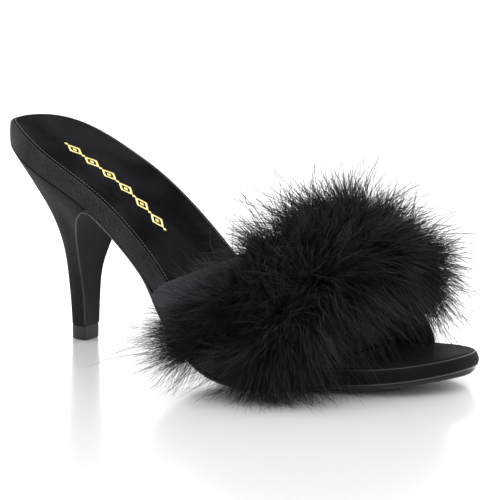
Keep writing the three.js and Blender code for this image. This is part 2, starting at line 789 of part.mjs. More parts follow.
add("outsole", outsole(), resin());
add("footbed", footbed(), satin());
add("sock_lining", sockLining(), suede());
add("heel", heel(), satin());
add("top_lift", topLift(), rubber());
add("vamp", vamp(), satin());
marabouRows.forEach((row, i) => add(row.name, marabouRow(row, 1 + 500 * i), down()));

// The origin is the middle of the flat that the outsole stands on.
function treadMiddle() {
  const flat = spine.slice(spineSteps / 2).filter((p) => p.tread < 0);
  return (flat[0].x + flat[flat.length - 1].x) / 2;
}
shoe.position.x = -treadMiddle();

export default shoe;
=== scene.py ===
import math
import random

import bmesh
import bpy
import numpy as np
from mathutils import Matrix, Vector


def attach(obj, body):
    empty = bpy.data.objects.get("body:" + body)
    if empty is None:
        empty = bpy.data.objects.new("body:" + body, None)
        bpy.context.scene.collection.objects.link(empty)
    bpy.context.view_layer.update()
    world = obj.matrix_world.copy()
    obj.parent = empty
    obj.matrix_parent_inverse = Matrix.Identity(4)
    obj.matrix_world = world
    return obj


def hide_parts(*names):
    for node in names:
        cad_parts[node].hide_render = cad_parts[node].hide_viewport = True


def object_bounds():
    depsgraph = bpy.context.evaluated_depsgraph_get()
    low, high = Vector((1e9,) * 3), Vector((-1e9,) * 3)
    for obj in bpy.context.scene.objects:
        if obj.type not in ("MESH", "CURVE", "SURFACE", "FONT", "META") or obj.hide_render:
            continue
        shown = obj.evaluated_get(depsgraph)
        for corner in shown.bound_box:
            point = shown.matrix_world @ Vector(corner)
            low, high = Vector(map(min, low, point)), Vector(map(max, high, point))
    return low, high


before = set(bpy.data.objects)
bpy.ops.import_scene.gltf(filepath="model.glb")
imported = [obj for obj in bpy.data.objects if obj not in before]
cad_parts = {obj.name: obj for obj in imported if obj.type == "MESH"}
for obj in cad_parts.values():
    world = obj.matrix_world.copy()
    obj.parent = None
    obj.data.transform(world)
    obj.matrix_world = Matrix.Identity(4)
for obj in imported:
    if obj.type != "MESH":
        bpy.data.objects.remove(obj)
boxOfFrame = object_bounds()
print("frame loaded")

mm = 0.001

# The last, in millimetres from the back of the heel, as the frame was built
last = {
    "length": 240.0,
    "ball": 77.6,
    "heel": 80.3,
    "instep": 39.5,
    "board": 7.8,
    "sole": 2.2,
    "treadFlat": 0.45,
    "gap": 0.3,
    "heelRound": 0.17,
    "toeRound": 0.865,
    "toePower": 2.6,
    "steps": 480,
    "steepest": (0.1, 1.4),
    "tries": 40,
}
lastRows = [
    {"at": 0.0, "centre": -0.004, "half": 0.288, "pitch": -0.12, "board": 1.12},
    {"at": 0.1, "centre": -0.044, "half": 0.322, "pitch": 0.46, "board": 1.11},
    {"at": 0.22, "centre": -0.053, "half": 0.338, "pitch": 0.57, "board": 1.0},
    {"at": 0.34, "centre": -0.048, "half": 0.338, "pitch": 0.845, "board": 1.0},
    {"at": 0.46, "centre": -0.035, "half": 0.358, "pitch": 1.0, "board": 0.98},
    {"at": 0.57, "centre": -0.05, "half": 0.442, "pitch": 0.77, "board": 0.93},
    {"at": 0.67, "centre": -0.052, "half": 0.5, "pitch": 0.15, "board": 0.9},
    {"at": 0.78, "centre": -0.004, "half": 0.464, "pitch": -0.085, "board": 0.89},
    {"at": 0.89, "centre": 0.043, "half": 0.395, "pitch": -0.085, "board": 0.86},
    {"at": 1.0, "centre": 0.105, "half": 0.345, "pitch": -0.21, "board": 0.77},
]


def smoothColumn(rows, key, name):
    keys = np.array([row[key] for row in rows], float)
    values = np.array([row[name] for row in rows], float)
    count = len(rows)
    behind = [max(0, i - 1) for i in range(count)]
    ahead = [min(count - 1, i + 1) for i in range(count)]
    slope = (values[ahead] - values[behind]) / (keys[ahead] - keys[behind])

    def read(at):
        at = np.asarray(at, float)
        i = np.clip(np.searchsorted(keys, at, side="right") - 1, 0, count - 2)
        span = keys[i + 1] - keys[i]
        s = (at - keys[i]) / span
        inside = (
            (2 * s**3 - 3 * s**2 + 1) * values[i]
            + (s**3 - 2 * s**2 + s) * span * slope[i]
            + (3 * s**2 - 2 * s**3) * values[i + 1]
            + (s**3 - s**2) * span * slope[i + 1]
        )
        before = values[0] + slope[0] * (at - keys[0])
        after = values[-1] + slope[-1] * (at - keys[-1])
        return np.where(s < 0, before, np.where(s > 1, after, inside))

    return read


centreShare = smoothColumn(lastRows, "at", "centre")
halfShare = smoothColumn(lastRows, "at", "half")
pitchShare = smoothColumn(lastRows, "at", "pitch")
boardShare = smoothColumn(lastRows, "at", "board")


def boardAt(at):
    return last["board"] * boardShare(at)


def walkSpine(steepest):
    steps = last["steps"]
    middles = pitchShare((np.arange(steps) + 0.5) / steps) * steepest
    step = last["length"] / steps
    x = np.concatenate([[0], np.cumsum(step * np.cos(middles))])
    z = np.concatenate([[0], -np.cumsum(step * np.sin(middles))])
    pitch = pitchShare(np.arange(steps + 1) / steps) * steepest
    below = boardAt(np.arange(steps + 1) / steps) + last["gap"] + last["sole"]
    lowest = np.min((z - below * np.cos(pitch))[steps // 2 :])
    return x, z - lowest - last["treadFlat"], pitch


def spineForHeel():
    low, high = last["steepest"]
    for _ in range(last["tries"]):
        middle = (low + high) / 2
        if walkSpine(middle)[1][0] - boardAt(0.0) < last["heel"]:
            low = middle
        else:
            high = middle
    return walkSpine(high)


spineX, spineZ, spinePitch = spineForHeel()
spineAt = np.arange(last["steps"] + 1) / last["steps"]


def halfWidth(at, inset=0.0):
    at = np.asarray(at, float)
    end = inset / last["length"]
    rear = np.clip((last["heelRound"] - at) / (last["heelRound"] - end), 0, 1)
    front = np.clip((at - last["toeRound"]) / (1 - end - last["toeRound"]), 0, 1)
    close = np.sqrt(np.maximum(0, 1 - rear**2)) * np.sqrt(np.maximum(0, 1 - front ** last["toePower"]))
    return (halfShare(at) * last["ball"] - inset) * close


def onLast(at, across, above):
    # Points so far to the side of the centre line and so far above the footbed's top
    at, across, above = np.broadcast_arrays(np.asarray(at, float), across, above)
    near = np.clip(at, 0, 1)
    x = np.interp(near, spineAt, spineX)
    z = np.interp(near, spineAt, spineZ)
    pitch = np.interp(near, spineAt, spinePitch)
    y = centreShare(at) * last["ball"] + across
    return np.stack([x + above * np.sin(pitch), y, z + above * np.cos(pitch)], -1)


# The frame's origin is in the middle of the flat that the forefoot stands on
treadBelow = (boardAt(spineAt) + last["gap"] + last["sole"]) * np.cos(spinePitch)
treadFlatX = spineX[last["steps"] // 2 :][(spineZ - treadBelow)[last["steps"] // 2 :] < 0]
originX = (treadFlatX[0] + treadFlatX[-1]) / 2


def toFrame(points):
    return (np.asarray(points, float) - [originX, 0, 0]) * mm


def addObject(name, mesh, smooth=True):
    piece = bpy.data.objects.new(name, mesh)
    bpy.context.scene.collection.objects.link(piece)
    if smooth:
        mesh.polygons.foreach_set("use_smooth", [True] * len(mesh.polygons))
    return piece


def settle(piece, slotName, *nodes):
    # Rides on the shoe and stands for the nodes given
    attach(piece, "root")
    if nodes:
        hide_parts(*nodes)
    return piece


weld = 0.002 * mm


class Skin:
    # A growing mesh: points and their flat place on the cloth in millimetres, and faces

    def __init__(self):
        self.points, self.flat, self.faces, self.count = [], [], [], 0

    def add(self, points, flat):
        points = np.asarray(points, float).reshape(-1, 3)
        self.points.append(points)
        self.flat.append(np.asarray(flat, float).reshape(-1, 2))
        start = self.count
        self.count += len(points)
        return start

    def grid(self, points, flat, closeRows=False, closeColumns=False):
        rows, columns = points.shape[:2]
        start = self.add(points, flat)
        ids = start + np.arange(rows * columns).reshape(rows, columns)
        self.skin(ids, closeRows, closeColumns)
        return ids

    def skin(self, ids, closeRows=False, closeColumns=False):
        rows, columns = ids.shape
        for r in range(rows if closeRows else rows - 1):
            for c in range(columns if closeColumns else columns - 1):
                a, b = ids[r][c], ids[r][(c + 1) % columns]
                d, e = ids[(r + 1) % rows][c], ids[(r + 1) % rows][(c + 1) % columns]
                self.faces.append((a, b, e, d))

    def fan(self, ring, middle, flat):
        hub = self.add([middle], [flat])
        for i in range(len(ring)):
            self.faces.append((ring[i], ring[(i + 1) % len(ring)], hub))

    def tube(self, points, flat, ends=(0, -1)):
        # Rings closed into a tube, and each of the ends given filled with a fan
        ids = self.grid(points, flat, closeColumns=True)
        for end in ends:
            self.fan(ids[end], points[end].mean(0), flat[end][0])
        return ids

    def build(self, name, material):
        mesh = bpy.data.meshes.new(name)
        points = toFrame(np.concatenate(self.points))
        mesh.from_pydata(points.tolist(), [], [tuple(int(i) for i in face) for face in self.faces])
        flat = np.concatenate(self.flat) * mm
        layer = mesh.uv_layers.new(name="cloth")
        corner = np.zeros(len(mesh.loops), int)
        mesh.loops.foreach_get("vertex_index", corner)
        layer.data.foreach_set("uv", flat[corner].ravel())
        work = bmesh.new()
        work.from_mesh(mesh)
        bmesh.ops.remove_doubles(work, verts=work.verts, dist=weld)
        bmesh.ops.recalc_face_normals(work, faces=work.faces)
        work.to_mesh(mesh)
        work.free()
        mesh.materials.append(material)
        return addObject(name, mesh)


def flatOver(along, across):
    # Flat places on the cloth, from lengths along and across it
    return np.stack(np.broadcast_arrays(along, across), -1)


def pathLength(points, axis=0):
    steps = np.linalg.norm(np.diff(points, axis=axis), axis=-1)
    zero = np.zeros_like(np.take(steps, [0], axis=axis))
    return np.concatenate([zero, np.cumsum(steps, axis=axis)], axis=axis)


def eased(count, low=0.0, high=1.0, start=True, end=True):
    s = np.linspace(0, 1, count)
    if start and end:
        s = (1 - np.cos(np.pi * s)) / 2
    elif start:
        s = 1 - np.cos(np.pi * s / 2)
    elif end:
        s = np.sin(np.pi * s / 2)
    return low + (high - low) * s


print("last ready, heel seat at", round(float(spineZ[0]), 1))


# Finishes

def node(tree, kind, inputs=None, **settings):
    # A node with its settings, and with each input given a value or linked to a socket
    made = tree.nodes.new(kind)
    for key, value in settings.items():
        setattr(made, key, value)
    for key, value in (inputs or {}).items():
        if isinstance(value, bpy.types.NodeSocket):
            tree.links.new(value, made.inputs[key])
        else:
            made.inputs[key].default_value = value
    return made


def link(tree, source, target):
    tree.links.new(source, target)


def maths(tree, operation, *values):
    return node(tree, "ShaderNodeMath", dict(enumerate(values)), operation=operation).outputs[0]


def makeTree(name, kind, inputs, outputs):
    # A node group with its sockets, and what comes into it and goes out of it
    group = bpy.data.node_groups.new(name, kind)
    for label, sort, value in inputs:
        socket = group.interface.new_socket(name=label, in_out="INPUT", socket_type="NodeSocket" + sort)
        if value is not None:
            socket.default_value = value
    for label, sort in outputs:
        group.interface.new_socket(name=label, in_out="OUTPUT", socket_type="NodeSocket" + sort)
    return group, group.nodes.new("NodeGroupInput").outputs, group.nodes.new("NodeGroupOutput").inputs


weaveLook = {
    "ties": 0.25,
    "stagger": 0.5,
    "tieHeight": 0.25,
    "floatHeight": 0.3,
    "slubs": (140.0, 1500.0, 1.0),
    "slubDetail": 4.0,
}


def makeWeave():
    # Satin threads: long floats that run one way, crossed by fine ties, with a slow unevenness over both
    look = weaveLook
    group, given, out = makeTree(
        "satinWeave",
        "ShaderNodeTree",
        [("Cloth", "Vector", None), ("Threads per metre", "Float", 3600.0), ("Slub", "Float", 0.35)],
        [("Height", "Float"), ("Shade", "Float")],
    )
    split = node(group, "ShaderNodeSeparateXYZ", {0: given["Cloth"]}).outputs
    turn = maths(group, "MULTIPLY", given["Threads per metre"], 2 * math.pi)
    floats = maths(group, "SINE", maths(group, "MULTIPLY", split["Y"], turn))
    ties = maths(group, "MULTIPLY", split["X"], maths(group, "MULTIPLY", turn, look["ties"]))
    stagger = maths(group, "MULTIPLY", split["Y"], maths(group, "MULTIPLY", turn, look["stagger"]))
    crossing = maths(group, "SINE", maths(group, "ADD", ties, stagger))
    stretch = node(group, "ShaderNodeMapping", {"Scale": look["slubs"], "Vector": given["Cloth"]})
    slubs = {"Vector": stretch.outputs[0], "Detail": look["slubDetail"]}
    shade = node(group, "ShaderNodeTexNoise", slubs).outputs["Fac"]
    height = maths(group, "MULTIPLY", floats, look["floatHeight"])
    threads = maths(group, "MULTIPLY_ADD", crossing, look["tieHeight"], height)
    link(group, maths(group, "ADD", threads, maths(group, "MULTIPLY", shade, given["Slub"])), out["Height"])
    link(group, shade, out["Shade"])
    return group


def makeNoises(name, noises):
    # A group with one noise for each row, over the same place, with so many of its waves per metre
    inputs = [("Place", "Vector", None)] + [(row["scale"], "Float", row["usual"]) for row in noises]
    group, given, out = makeTree(name, "ShaderNodeTree", inputs, [(row["name"], "Float") for row in noises])
    for row in noises:
        inputs = {"Vector": given["Place"], "Scale": given[row["scale"]], **row["noise"]}
        link(group, node(group, "ShaderNodeTexNoise", inputs).outputs["Fac"], out[row["name"]])
    return group


weaveGroup = makeWeave()
# Brushed nap: fine grains over broad strokes where a hand has passed
napGroup = makeNoises(
    "brushedNap",
    [
        {
            "name": "Grain", "scale": "Grain per metre", "usual": 2600.0,
            "noise": {"Detail": 3.0, "Roughness": 0.7},
        },
        {
            "name": "Strokes", "scale": "Stroke per metre", "usual": 38.0,
            "noise": {"Detail": 5.0, "Distortion": 0.8},
        },
    ],
)
# Faint unevenness that breaks up a plain surface
dustGroup = makeNoises(
    "faintUnevenness",
    [
        {"name": "Patches", "scale": "Patches per metre", "usual": 90.0, "noise": {"Detail": 4.0}},
        {"name": "Specks", "scale": "Specks per metre", "usual": 1400.0, "noise": {"Detail": 4.0}},
    ],
)
noiseSpan = {"low": 0.3, "high": 0.7}


def startMaterial(name, settings):
    material = bpy.data.materials.new(name)
    material.use_nodes = True
    tree = material.node_tree
    shader = tree.nodes["Principled BSDF"].inputs
    for label, value in settings.items():
        shader[label].default_value = value
    return material, tree, shader


def ramp(tree, factor, low, high, start=0.0, end=1.0):
    limits = {"From Min": low, "From Max": high, "To Min": start, "To Max": end}
    return node(tree, "ShaderNodeMapRange", {"Value": factor, **limits}).outputs[0]


def spread(tree, factor, start, end):
    return ramp(tree, factor, noiseSpan["low"], noiseSpan["high"], start, end)


def mixed(tree, factor, first, second):
    colours = {"Factor": factor, "A": first, "B": second}
    return node(tree, "ShaderNodeMix", colours, data_type="RGBA").outputs["Result"]


def between(tree, factor, dark, light, low=noiseSpan["low"], high=noiseSpan["high"]):
    return mixed(tree, ramp(tree, factor, low, high), (*dark, 1), (*light, 1))


def bump(tree, height, distance, strength, shader):
    inputs = {"Height": height, "Distance": distance, "Strength": strength}
    link(tree, node(tree, "ShaderNodeBump", inputs).outputs[0], shader["Normal"])


def place(tree):
    return node(tree, "ShaderNodeTexCoord").outputs["Object"]


def dusting(tree, patches, specks):
    inputs = {"Place": place(tree), "Patches per metre": patches, "Specks per metre": specks}
    return node(tree, "ShaderNodeGroup", inputs, node_tree=dustGroup).outputs


satinLook = {
    "shader": {
        "Sheen Weight": 0.01,
        "Sheen Roughness": 0.35,
        "Sheen Tint": (0.75, 0.78, 0.9, 1),
        "Anisotropic": 0.4,
    },
    "threads": 3400.0,
    "slub": 0.4,
    "patches": 60.0,
    "specks": 2000.0,
    "slubShare": 0.35,
    "patchShare": 0.35,
    "speckShare": 0.85,
    "middle": 0.275,
    "bumpDepth": 0.0001,
    "bumpStrength": 0.7,
}


def satinCloth(name, dark, light, roughness, gloss, paintedShading=None):
    look = satinLook
    material, tree, shader = startMaterial(name, {**look["shader"], "Specular IOR Level": gloss})
    cloth = node(tree, "ShaderNodeUVMap", uv_map="cloth").outputs[0]
    threads = {"Cloth": cloth, "Threads per metre": look["threads"], "Slub": look["slub"]}
    weave = node(tree, "ShaderNodeGroup", threads, node_tree=weaveGroup).outputs
    dust = dusting(tree, look["patches"], look["specks"])
    patches = maths(tree, "MULTIPLY", dust["Patches"], look["patchShare"])
    shade = maths(tree, "MULTIPLY_ADD", weave["Shade"], look["slubShare"], patches)
    shade = maths(tree, "SUBTRACT", shade, look["middle"])
    shade = maths(tree, "MULTIPLY_ADD", dust["Specks"], look["speckShare"], shade)
    tone = between(tree, shade, dark, light)
    if paintedShading:
        # Painted shade and light: the tone changes along the shoe, or with the way that the surface faces
        facing = node(tree, "ShaderNodeNewGeometry").outputs["Normal"]
        split = node(tree, "ShaderNodeSeparateXYZ", {0: facing if paintedShading["byFacing"] else place(tree)})
        fade = ramp(tree, split.outputs["X"], paintedShading["from"], paintedShading["to"], 0.0, paintedShading["share"])
        tone = mixed(tree, fade, tone, paintedShading["tone"])
    link(tree, tone, shader["Base Color"])
    link(tree, spread(tree, shade, *reversed(roughness)), shader["Roughness"])
    bump(tree, weave["Height"], look["bumpDepth"], look["bumpStrength"], shader)
    return material


# Painted shade darkens the satin towards the toe, and painted light makes the heel's breast paler
# where it faces forward
toePaintedShade = {"byFacing": False, "from": -0.03, "to": 0.035, "share": 0.85, "tone": (0.004, 0.004, 0.005, 1)}
breastPaintedLight = {"byFacing": True, "from": 0.35, "to": 0.95, "share": 0.62, "tone": (0.05, 0.05, 0.053, 1)}
satin = satinCloth("blackSatin", (0.006, 0.006, 0.007), (0.038, 0.037, 0.042), (0.42, 0.54), 0.03, toePaintedShade)
vampSatin = satinCloth("vampSatin", (0.005, 0.008, 0.0115), (0.019, 0.024, 0.031), (0.36, 0.5), 0.19)
heelSatin = satinCloth(
    "heelSatin", (0.007, 0.007, 0.0075), (0.023, 0.023, 0.024), (0.46, 0.56), 0.012, breastPaintedLight
)

suedeLook = {
    "shader": {
        "Specular IOR Level": 0.02,
        "Sheen Weight": 0.004,
        "Sheen Roughness": 0.6,
        "Sheen Tint": (0.8, 0.8, 0.9, 1),
    },
    "grain": 2400.0,
    "strokes": 34.0,
    "grainShare": 0.4,
    "strokeShare": 0.6,
    "dark": (0.0012, 0.0012, 0.0015),
    "light": (0.0115, 0.011, 0.013),
    "darkBelow": 0.42,
    "lightAbove": 0.6,
    "roughness": (0.8, 0.98),
    "bumpDepth": 0.0003,
    "bumpStrength": 0.5,
}


def suedeLining():
    look = suedeLook
    material, tree, shader = startMaterial("napLining", look["shader"])
    inputs = {"Place": place(tree), "Grain per metre": look["grain"], "Stroke per metre": look["strokes"]}
    nap = node(tree, "ShaderNodeGroup", inputs, node_tree=napGroup).outputs
    strokes = maths(tree, "MULTIPLY", nap["Strokes"], look["strokeShare"])
    shade = maths(tree, "MULTIPLY_ADD", nap["Grain"], look["grainShare"], strokes)
    tone = between(tree, shade, look["dark"], look["light"], look["darkBelow"], look["lightAbove"])
    link(tree, tone, shader["Base Color"])
    link(tree, spread(tree, nap["Strokes"], *look["roughness"]), shader["Roughness"])
    bump(tree, shade, look["bumpDepth"], look["bumpStrength"], shader)
    return material


lining = suedeLining()


def dustedFinish(name, colours, roughness, settings, dusty, speckle, strength):
    # A plain colour in faint patches, with fine specks in its roughness and its relief
    material, tree, shader = startMaterial(name, settings)
    dust = dusting(tree, *dusty)
    link(tree, between(tree, dust["Patches"], *colours), shader["Base Color"])
    link(tree, spread(tree, dust["Specks"], *roughness), shader["Roughness"])
    bump(tree, dust["Specks"], speckle, strength, shader)
    return material


plainLook = {"coatRoughness": 0.1, "dust": (70.0, 1600.0), "bump": 0.3}


def plainBlack(name, dark, light, roughness, coat, speckle, gloss=0.3):
    look = plainLook
    settings = {"Specular IOR Level": gloss, "Coat Roughness": look["coatRoughness"], "Coat Weight": coat}
    return dustedFinish(name, (dark, light), roughness, settings, look["dust"], speckle, look["bump"])


soleGloss = plainBlack(
    "soleGloss", (0.004, 0.004, 0.005), (0.008, 0.008, 0.009), (0.1, 0.18), 0.22, 0.00003, 0.12
)
liftRubber = plainBlack(
    "liftRubber", (0.008, 0.008, 0.009), (0.014, 0.014, 0.016), (0.42, 0.56), 0.0, 0.00008
)
threadBlack = plainBlack("threadBlack", (0.09, 0.09, 0.095), (0.16, 0.16, 0.165), (0.35, 0.5), 0.0, 0.00002)
edgePolish = plainBlack(
    "edgePolish", (0.006, 0.006, 0.007), (0.014, 0.014, 0.015), (0.08, 0.16), 0.5, 0.00001, 0.4
)
foldEdge = plainBlack(
    "foldEdge", (0.006, 0.006, 0.007), (0.016, 0.016, 0.018), (0.3, 0.42), 0.0, 0.00002, 0.4
)
seamEdge = plainBlack("seamEdge", (0.02, 0.02, 0.022), (0.036, 0.036, 0.039), (0.36, 0.48), 0.0, 0.00002)
coreDark = plainBlack("downGround", (0.002, 0.002, 0.003), (0.006, 0.006, 0.008), (0.8, 0.95), 0.0, 0.0004)
foil = dustedFinish(
    "goldFoil",
    ((0.86, 0.66, 0.2), (1.0, 0.86, 0.4)),
    (0.3, 0.5),
    {"Metallic": 1.0},
    (500.0, 3000.0),
    0.00004,
    0.4,
)

downShade = {"byLength": 0.6, "byHair": 0.4, "roughness": (0.45, 0.65)}


def downMaterial(name, root, tip, lightFrom):
    # Painted shade and light: each hair is darkest at its root and lighter towards its tip, and hairs differ
    # a little from one another
    material, tree, shader = startMaterial(name, {"Specular IOR Level": 0.12, "Sheen Weight": 0.0})
    along = node(tree, "ShaderNodeAttribute", attribute_name="along").outputs["Fac"]
    shade = node(tree, "ShaderNodeAttribute", attribute_name="shade").outputs["Fac"]
    own = maths(tree, "MULTIPLY", shade, downShade["byHair"])
    factor = maths(tree, "MULTIPLY_ADD", along, downShade["byLength"], own)
    link(tree, between(tree, factor, root, tip, lightFrom, 1.0), shader["Base Color"])
    link(tree, spread(tree, shade, *downShade["roughness"]), shader["Roughness"])
    return material


# The pale tips of the long strands are a painted highlight on black down
downDark = downMaterial("blackDown", (0.0008, 0.0008, 0.0012), (0.007, 0.007, 0.01), 0.2)
downStrandPaintedHighlight = downMaterial("blackStrandsPaintedHighlight", (0.0008, 0.0008, 0.0012), (0.07, 0.072, 0.088), 0.52)
print("finishes ready")


# Footbed: a wrapped board, drawn as rings round the outline

footbedLook = {
    "around": 240,
    "edgeRadius": 1.0,
    "toeEdgeRadius": 2.7,
    "toeEdgeFrom": 0.74,
    "toeEdgeTo": 0.88,
    "upperSteps": 8,
    "lowerRadius": 1.0,
    "lowerSteps": 5,
    "under": 3.5,
    "underFlat": 0.5,
    "bulge": 0.25,
    "bulgeAt": (0.2, 0.4, 0.6, 0.8),
    "hollow": 1.2,
    "crown": 0.3,
    "crownFrom": 0.6,
    "endSlope": 6,
    "rim": 1.7,
    "rimLeast": 0.25,
    "groove": 0.12,
    "grooveSlope": 0.02,
    "bedDepth": 1.3,
    "columnsUnder": 4,
    "columnsOver": 10,
}


def ringTurns(count):
    # Shares round the outline, from the heel's back along the inner side to the toe and home again
    turn = np.arange(count) * 2 * math.pi / count
    return (1 - np.cos(turn)) / 2, np.sign(np.round(np.sin(turn), 9))


def outlineRing(inset, above, count):
    share, side = ringTurns(count)
    end = inset / last["length"]
    at = end + (1 - 2 * end) * share
    across = side * halfWidth(np.clip(at, end, 1 - end), inset)
    return onLast(at, across, above)


def bedAcross(skin, ring, points, flat, columns, relief):
    # Fills a ring with rows from side to side, with a relief given over them
    half = len(ring) // 2
    previous = [ring[0]]
    for j in range(1, half):
        left, right = points[j], points[len(ring) - j]
        flatLeft, flatRight = flat[j], flat[len(ring) - j]
        share = np.arange(1, columns) / columns
        inner = left + (right - left) * share[:, None]
        inner[:, 2] += relief(j / half, 2 * share - 1)
        start = skin.add(inner, flatLeft + (flatRight - flatLeft) * share[:, None])
        current = [ring[j], *range(start, start + columns - 1), ring[len(ring) - j]]
        if len(previous) == 1:
            for k in range(columns):
                skin.faces.append((previous[0], current[k], current[k + 1]))
        else:
            for k in range(columns):
                skin.faces.append((previous[k], current[k], current[k + 1], previous[k + 1]))
        previous = current
    for k in range(columns):
        skin.faces.append((previous[k], ring[half], previous[k + 1]))


def edgeRound(share):
    # The top edge is crisp at the heel and rounder at the toe
    look = footbedLook
    toward = np.clip((share - look["toeEdgeFrom"]) / (look["toeEdgeTo"] - look["toeEdgeFrom"]), 0, 1)
    toward = toward**2 * (3 - 2 * toward)
    return toward, look["edgeRadius"] + (look["toeEdgeRadius"] - look["edgeRadius"]) * toward


def makeFootbed():
    look = footbedLook
    count = look["around"]
    share, _ = ringTurns(count)
    toward, r = edgeRound(share)
    t, lowR = boardAt(share), look["lowerRadius"]
    same = np.ones(count)
    profile = [(look["under"] * same, -t), ((lowR + look["underFlat"]) * same, -t)]
    for angle in np.linspace(0, math.pi / 2, look["lowerSteps"]):
        profile.append((lowR * (1 - math.sin(angle)) * same, -t + lowR * (1 - math.cos(angle))))
    for part in look["bulgeAt"]:
        profile.append((-look["bulge"] * math.sin(math.pi * part) * same, -t + lowR + (t - lowR - r) * part))
    for angle in np.linspace(0, math.pi / 2, look["upperSteps"]):
        profile.append((r * (1 - math.cos(angle)), -r * (1 - math.sin(angle))))
    rim = np.maximum(look["rim"], r + look["rimLeast"])
    groove, depth = look["groove"], look["bedDepth"] * (1 - toward)
    profile += [(rim - groove, 0 * same), (rim, -groove * same), (rim + look["grooveSlope"], -groove - depth)]
    rings = np.stack([outlineRing(inset, above, count) for inset, above in profile])
    edge = rings[len(profile) // 2]
    flat = flatOver(pathLength(edge)[None, :], pathLength(rings)[:, :1])
    skin = Skin()
    ids = skin.grid(rings, flat, closeColumns=True)
    bedAcross(skin, ids[0], rings[0], flat[0], look["columnsUnder"], lambda part, u: 0 * u)

    def relief(part, u):
        # The seat is hollowed, and the padded bed under the toes is very slightly crowned
        ends = min(1, look["endSlope"] * part, look["endSlope"] * (1 - part))
        return ends * (1 - u**2) * (-look["hollow"] if part < look["crownFrom"] else look["crown"])

    bedAcross(skin, ids[-1], rings[-1], flat[-1], look["columnsOver"], relief)
    return settle(skin.build("footbedWrap", satin), "footbed", "footbed")


makeFootbed()
print("footbed made")


# Sock lining: a napped sheet with a soft edge, let into the footbed

liningLook = {
    "rows": 150,
    "columns": 40,
    "thickness": 1.1,
    "proud": 0.3,
    "endsAt": 0.8,
    "sliver": 0.0006,
    "edgeDrop": 0.4,
    "edgeOver": 0.35,
    "hollow": 0.35,
    "fullHalf": 16,
    "waves": 0.12,
    "wavesAlong": 37.0,
    "wavesAcross": 2.2,
    "wavesFrom": 0.6,
    "gap": 0.15,
}


def liningRise(at, half, u):
    # How far the lining's top stands above the footbed's: hollowed like the seat, and faintly uneven
    look = liningLook
    sink = footbedLook["hollow"] * look["hollow"] * (1 - u**2) * np.clip(half / look["fullHalf"], 0, 1)
    waves = np.sin(at * look["wavesAlong"]) * np.sin(u * look["wavesAcross"] + look["wavesFrom"])
    return look["proud"] - sink + look["waves"] * waves


def makeLining():
    look = liningLook
    inset = footbedLook["rim"] + look["gap"]
    start = inset / last["length"] + look["sliver"]
    at = eased(look["rows"], start, look["endsAt"], True, False)[:, None]
    half = halfWidth(at, inset)
    u = np.sin(np.linspace(-1, 1, look["columns"]) * math.pi / 2)[None, :]
    edge = np.minimum((1 - np.abs(u)) * half, (at - start) * last["length"])
    lift = liningRise(at, half, u) - look["edgeDrop"] * np.exp(-edge / look["edgeOver"])
    flat = flatOver(at * last["length"], half * u)
    skin = Skin()
    upper = skin.grid(onLast(at, half * u, lift), flat)
    lower = skin.grid(onLast(at, half * u, -look["thickness"]), flat)
    for end in (0, -1):
        skin.skin(np.stack([upper[:, end], lower[:, end]]))
        skin.skin(np.stack([upper[end], lower[end]]))
    return settle(skin.build("sockLining", lining), "sock_lining", "sock_lining")


makeLining()
print("sock lining made")


# Vamp: a satin band with a folded edge at the throat and at the toe, gathered where it is lasted under

vampRows = [
    {"along": 0.0, "outer": 0.47, "inner": 0.47, "crown": 0.645, "rise": 1.0},
    {"along": 0.35, "outer": 0.6, "inner": 0.6, "crown": 0.7, "rise": 0.93},
    {"along": 0.7, "outer": 0.725, "inner": 0.742, "crown": 0.762, "rise": 0.79},
    {"along": 1.0, "outer": 0.82, "inner": 0.862, "crown": 0.812, "rise": 0.63},
]
vampLook = {
    "wall": 1.6,
    "fullness": 2.25,
    "crownStep": 0.02,
    "margin": 8.0,
    "turned": 1.2,
    "turnIn": 1.2,
    "cornerCuts": (0.45, 0.12),
    "outerClimb": (0.25, 0.7, 1.4),
    "innerClimb": (0.3, 0.7),
    "sides": (0.6, 0.3),
    "fold": 0.008,
    "foldSteps": 5,
    "closeStations": 36,
    "openStations": 44,
    "closeTo": 0.16,
    "over": 90,
    "pleatDepth": 0.34,
    "pleatsAt": [0.014, 0.033, 0.056, 0.075, 0.1, 0.124, 0.15, 0.2, 0.27, 0.36, 0.47, 0.6, 0.75, 0.88],
    "pleatWidth": 0.0075,
    "pleatWidens": 2.2,
    "pleatsVary": 0.3,
    "pleatFade": 0.13,
}
vampOuter = smoothColumn(vampRows, "along", "outer")
vampInner = smoothColumn(vampRows, "along", "inner")
vampCrownAt = smoothColumn(vampRows, "along", "crown")
vampRise = smoothColumn(vampRows, "along", "rise")


def vampSide(along, side, outside, above):
    at = vampOuter(along) if side < 0 else vampInner(along)
    return onLast(at, side * (halfWidth(at) + outside), above)


def vampCrown(along):
    crown = onLast(vampCrownAt(along), 0.0, 0.0)
    crown[..., 2] += vampRise(along) * last["instep"]
    return crown


def crownNormal(along):
    step = vampLook["crownStep"]
    ahead = vampCrown(along + step) - vampCrown(along - step)
    normal = np.stack([-ahead[..., 2], 0 * ahead[..., 0], ahead[..., 0]], -1)
    return normal / np.linalg.norm(normal, axis=-1, keepdims=True)


def vampArch(along, turn, lift):
    along, turn, lift = np.broadcast_arrays(np.asarray(along, float), turn, lift)
    sideLift = last["gap"] + lift
    outer = vampSide(along, -1, sideLift, 0.0)
    inner = vampSide(along, 1, sideLift, 0.0)
    middle = (outer + inner) / 2
    crown = vampCrown(along) + crownNormal(along) * (lift - vampLook["wall"])[..., None]
    angle = math.pi * turn
    power = 2 / vampLook["fullness"]
    across = np.sign(np.cos(angle)) * np.abs(np.cos(angle)) ** power
    rise = np.abs(np.sin(angle)) ** power
    return middle + (outer - middle) * across[..., None] + (crown - middle) * rise[..., None]


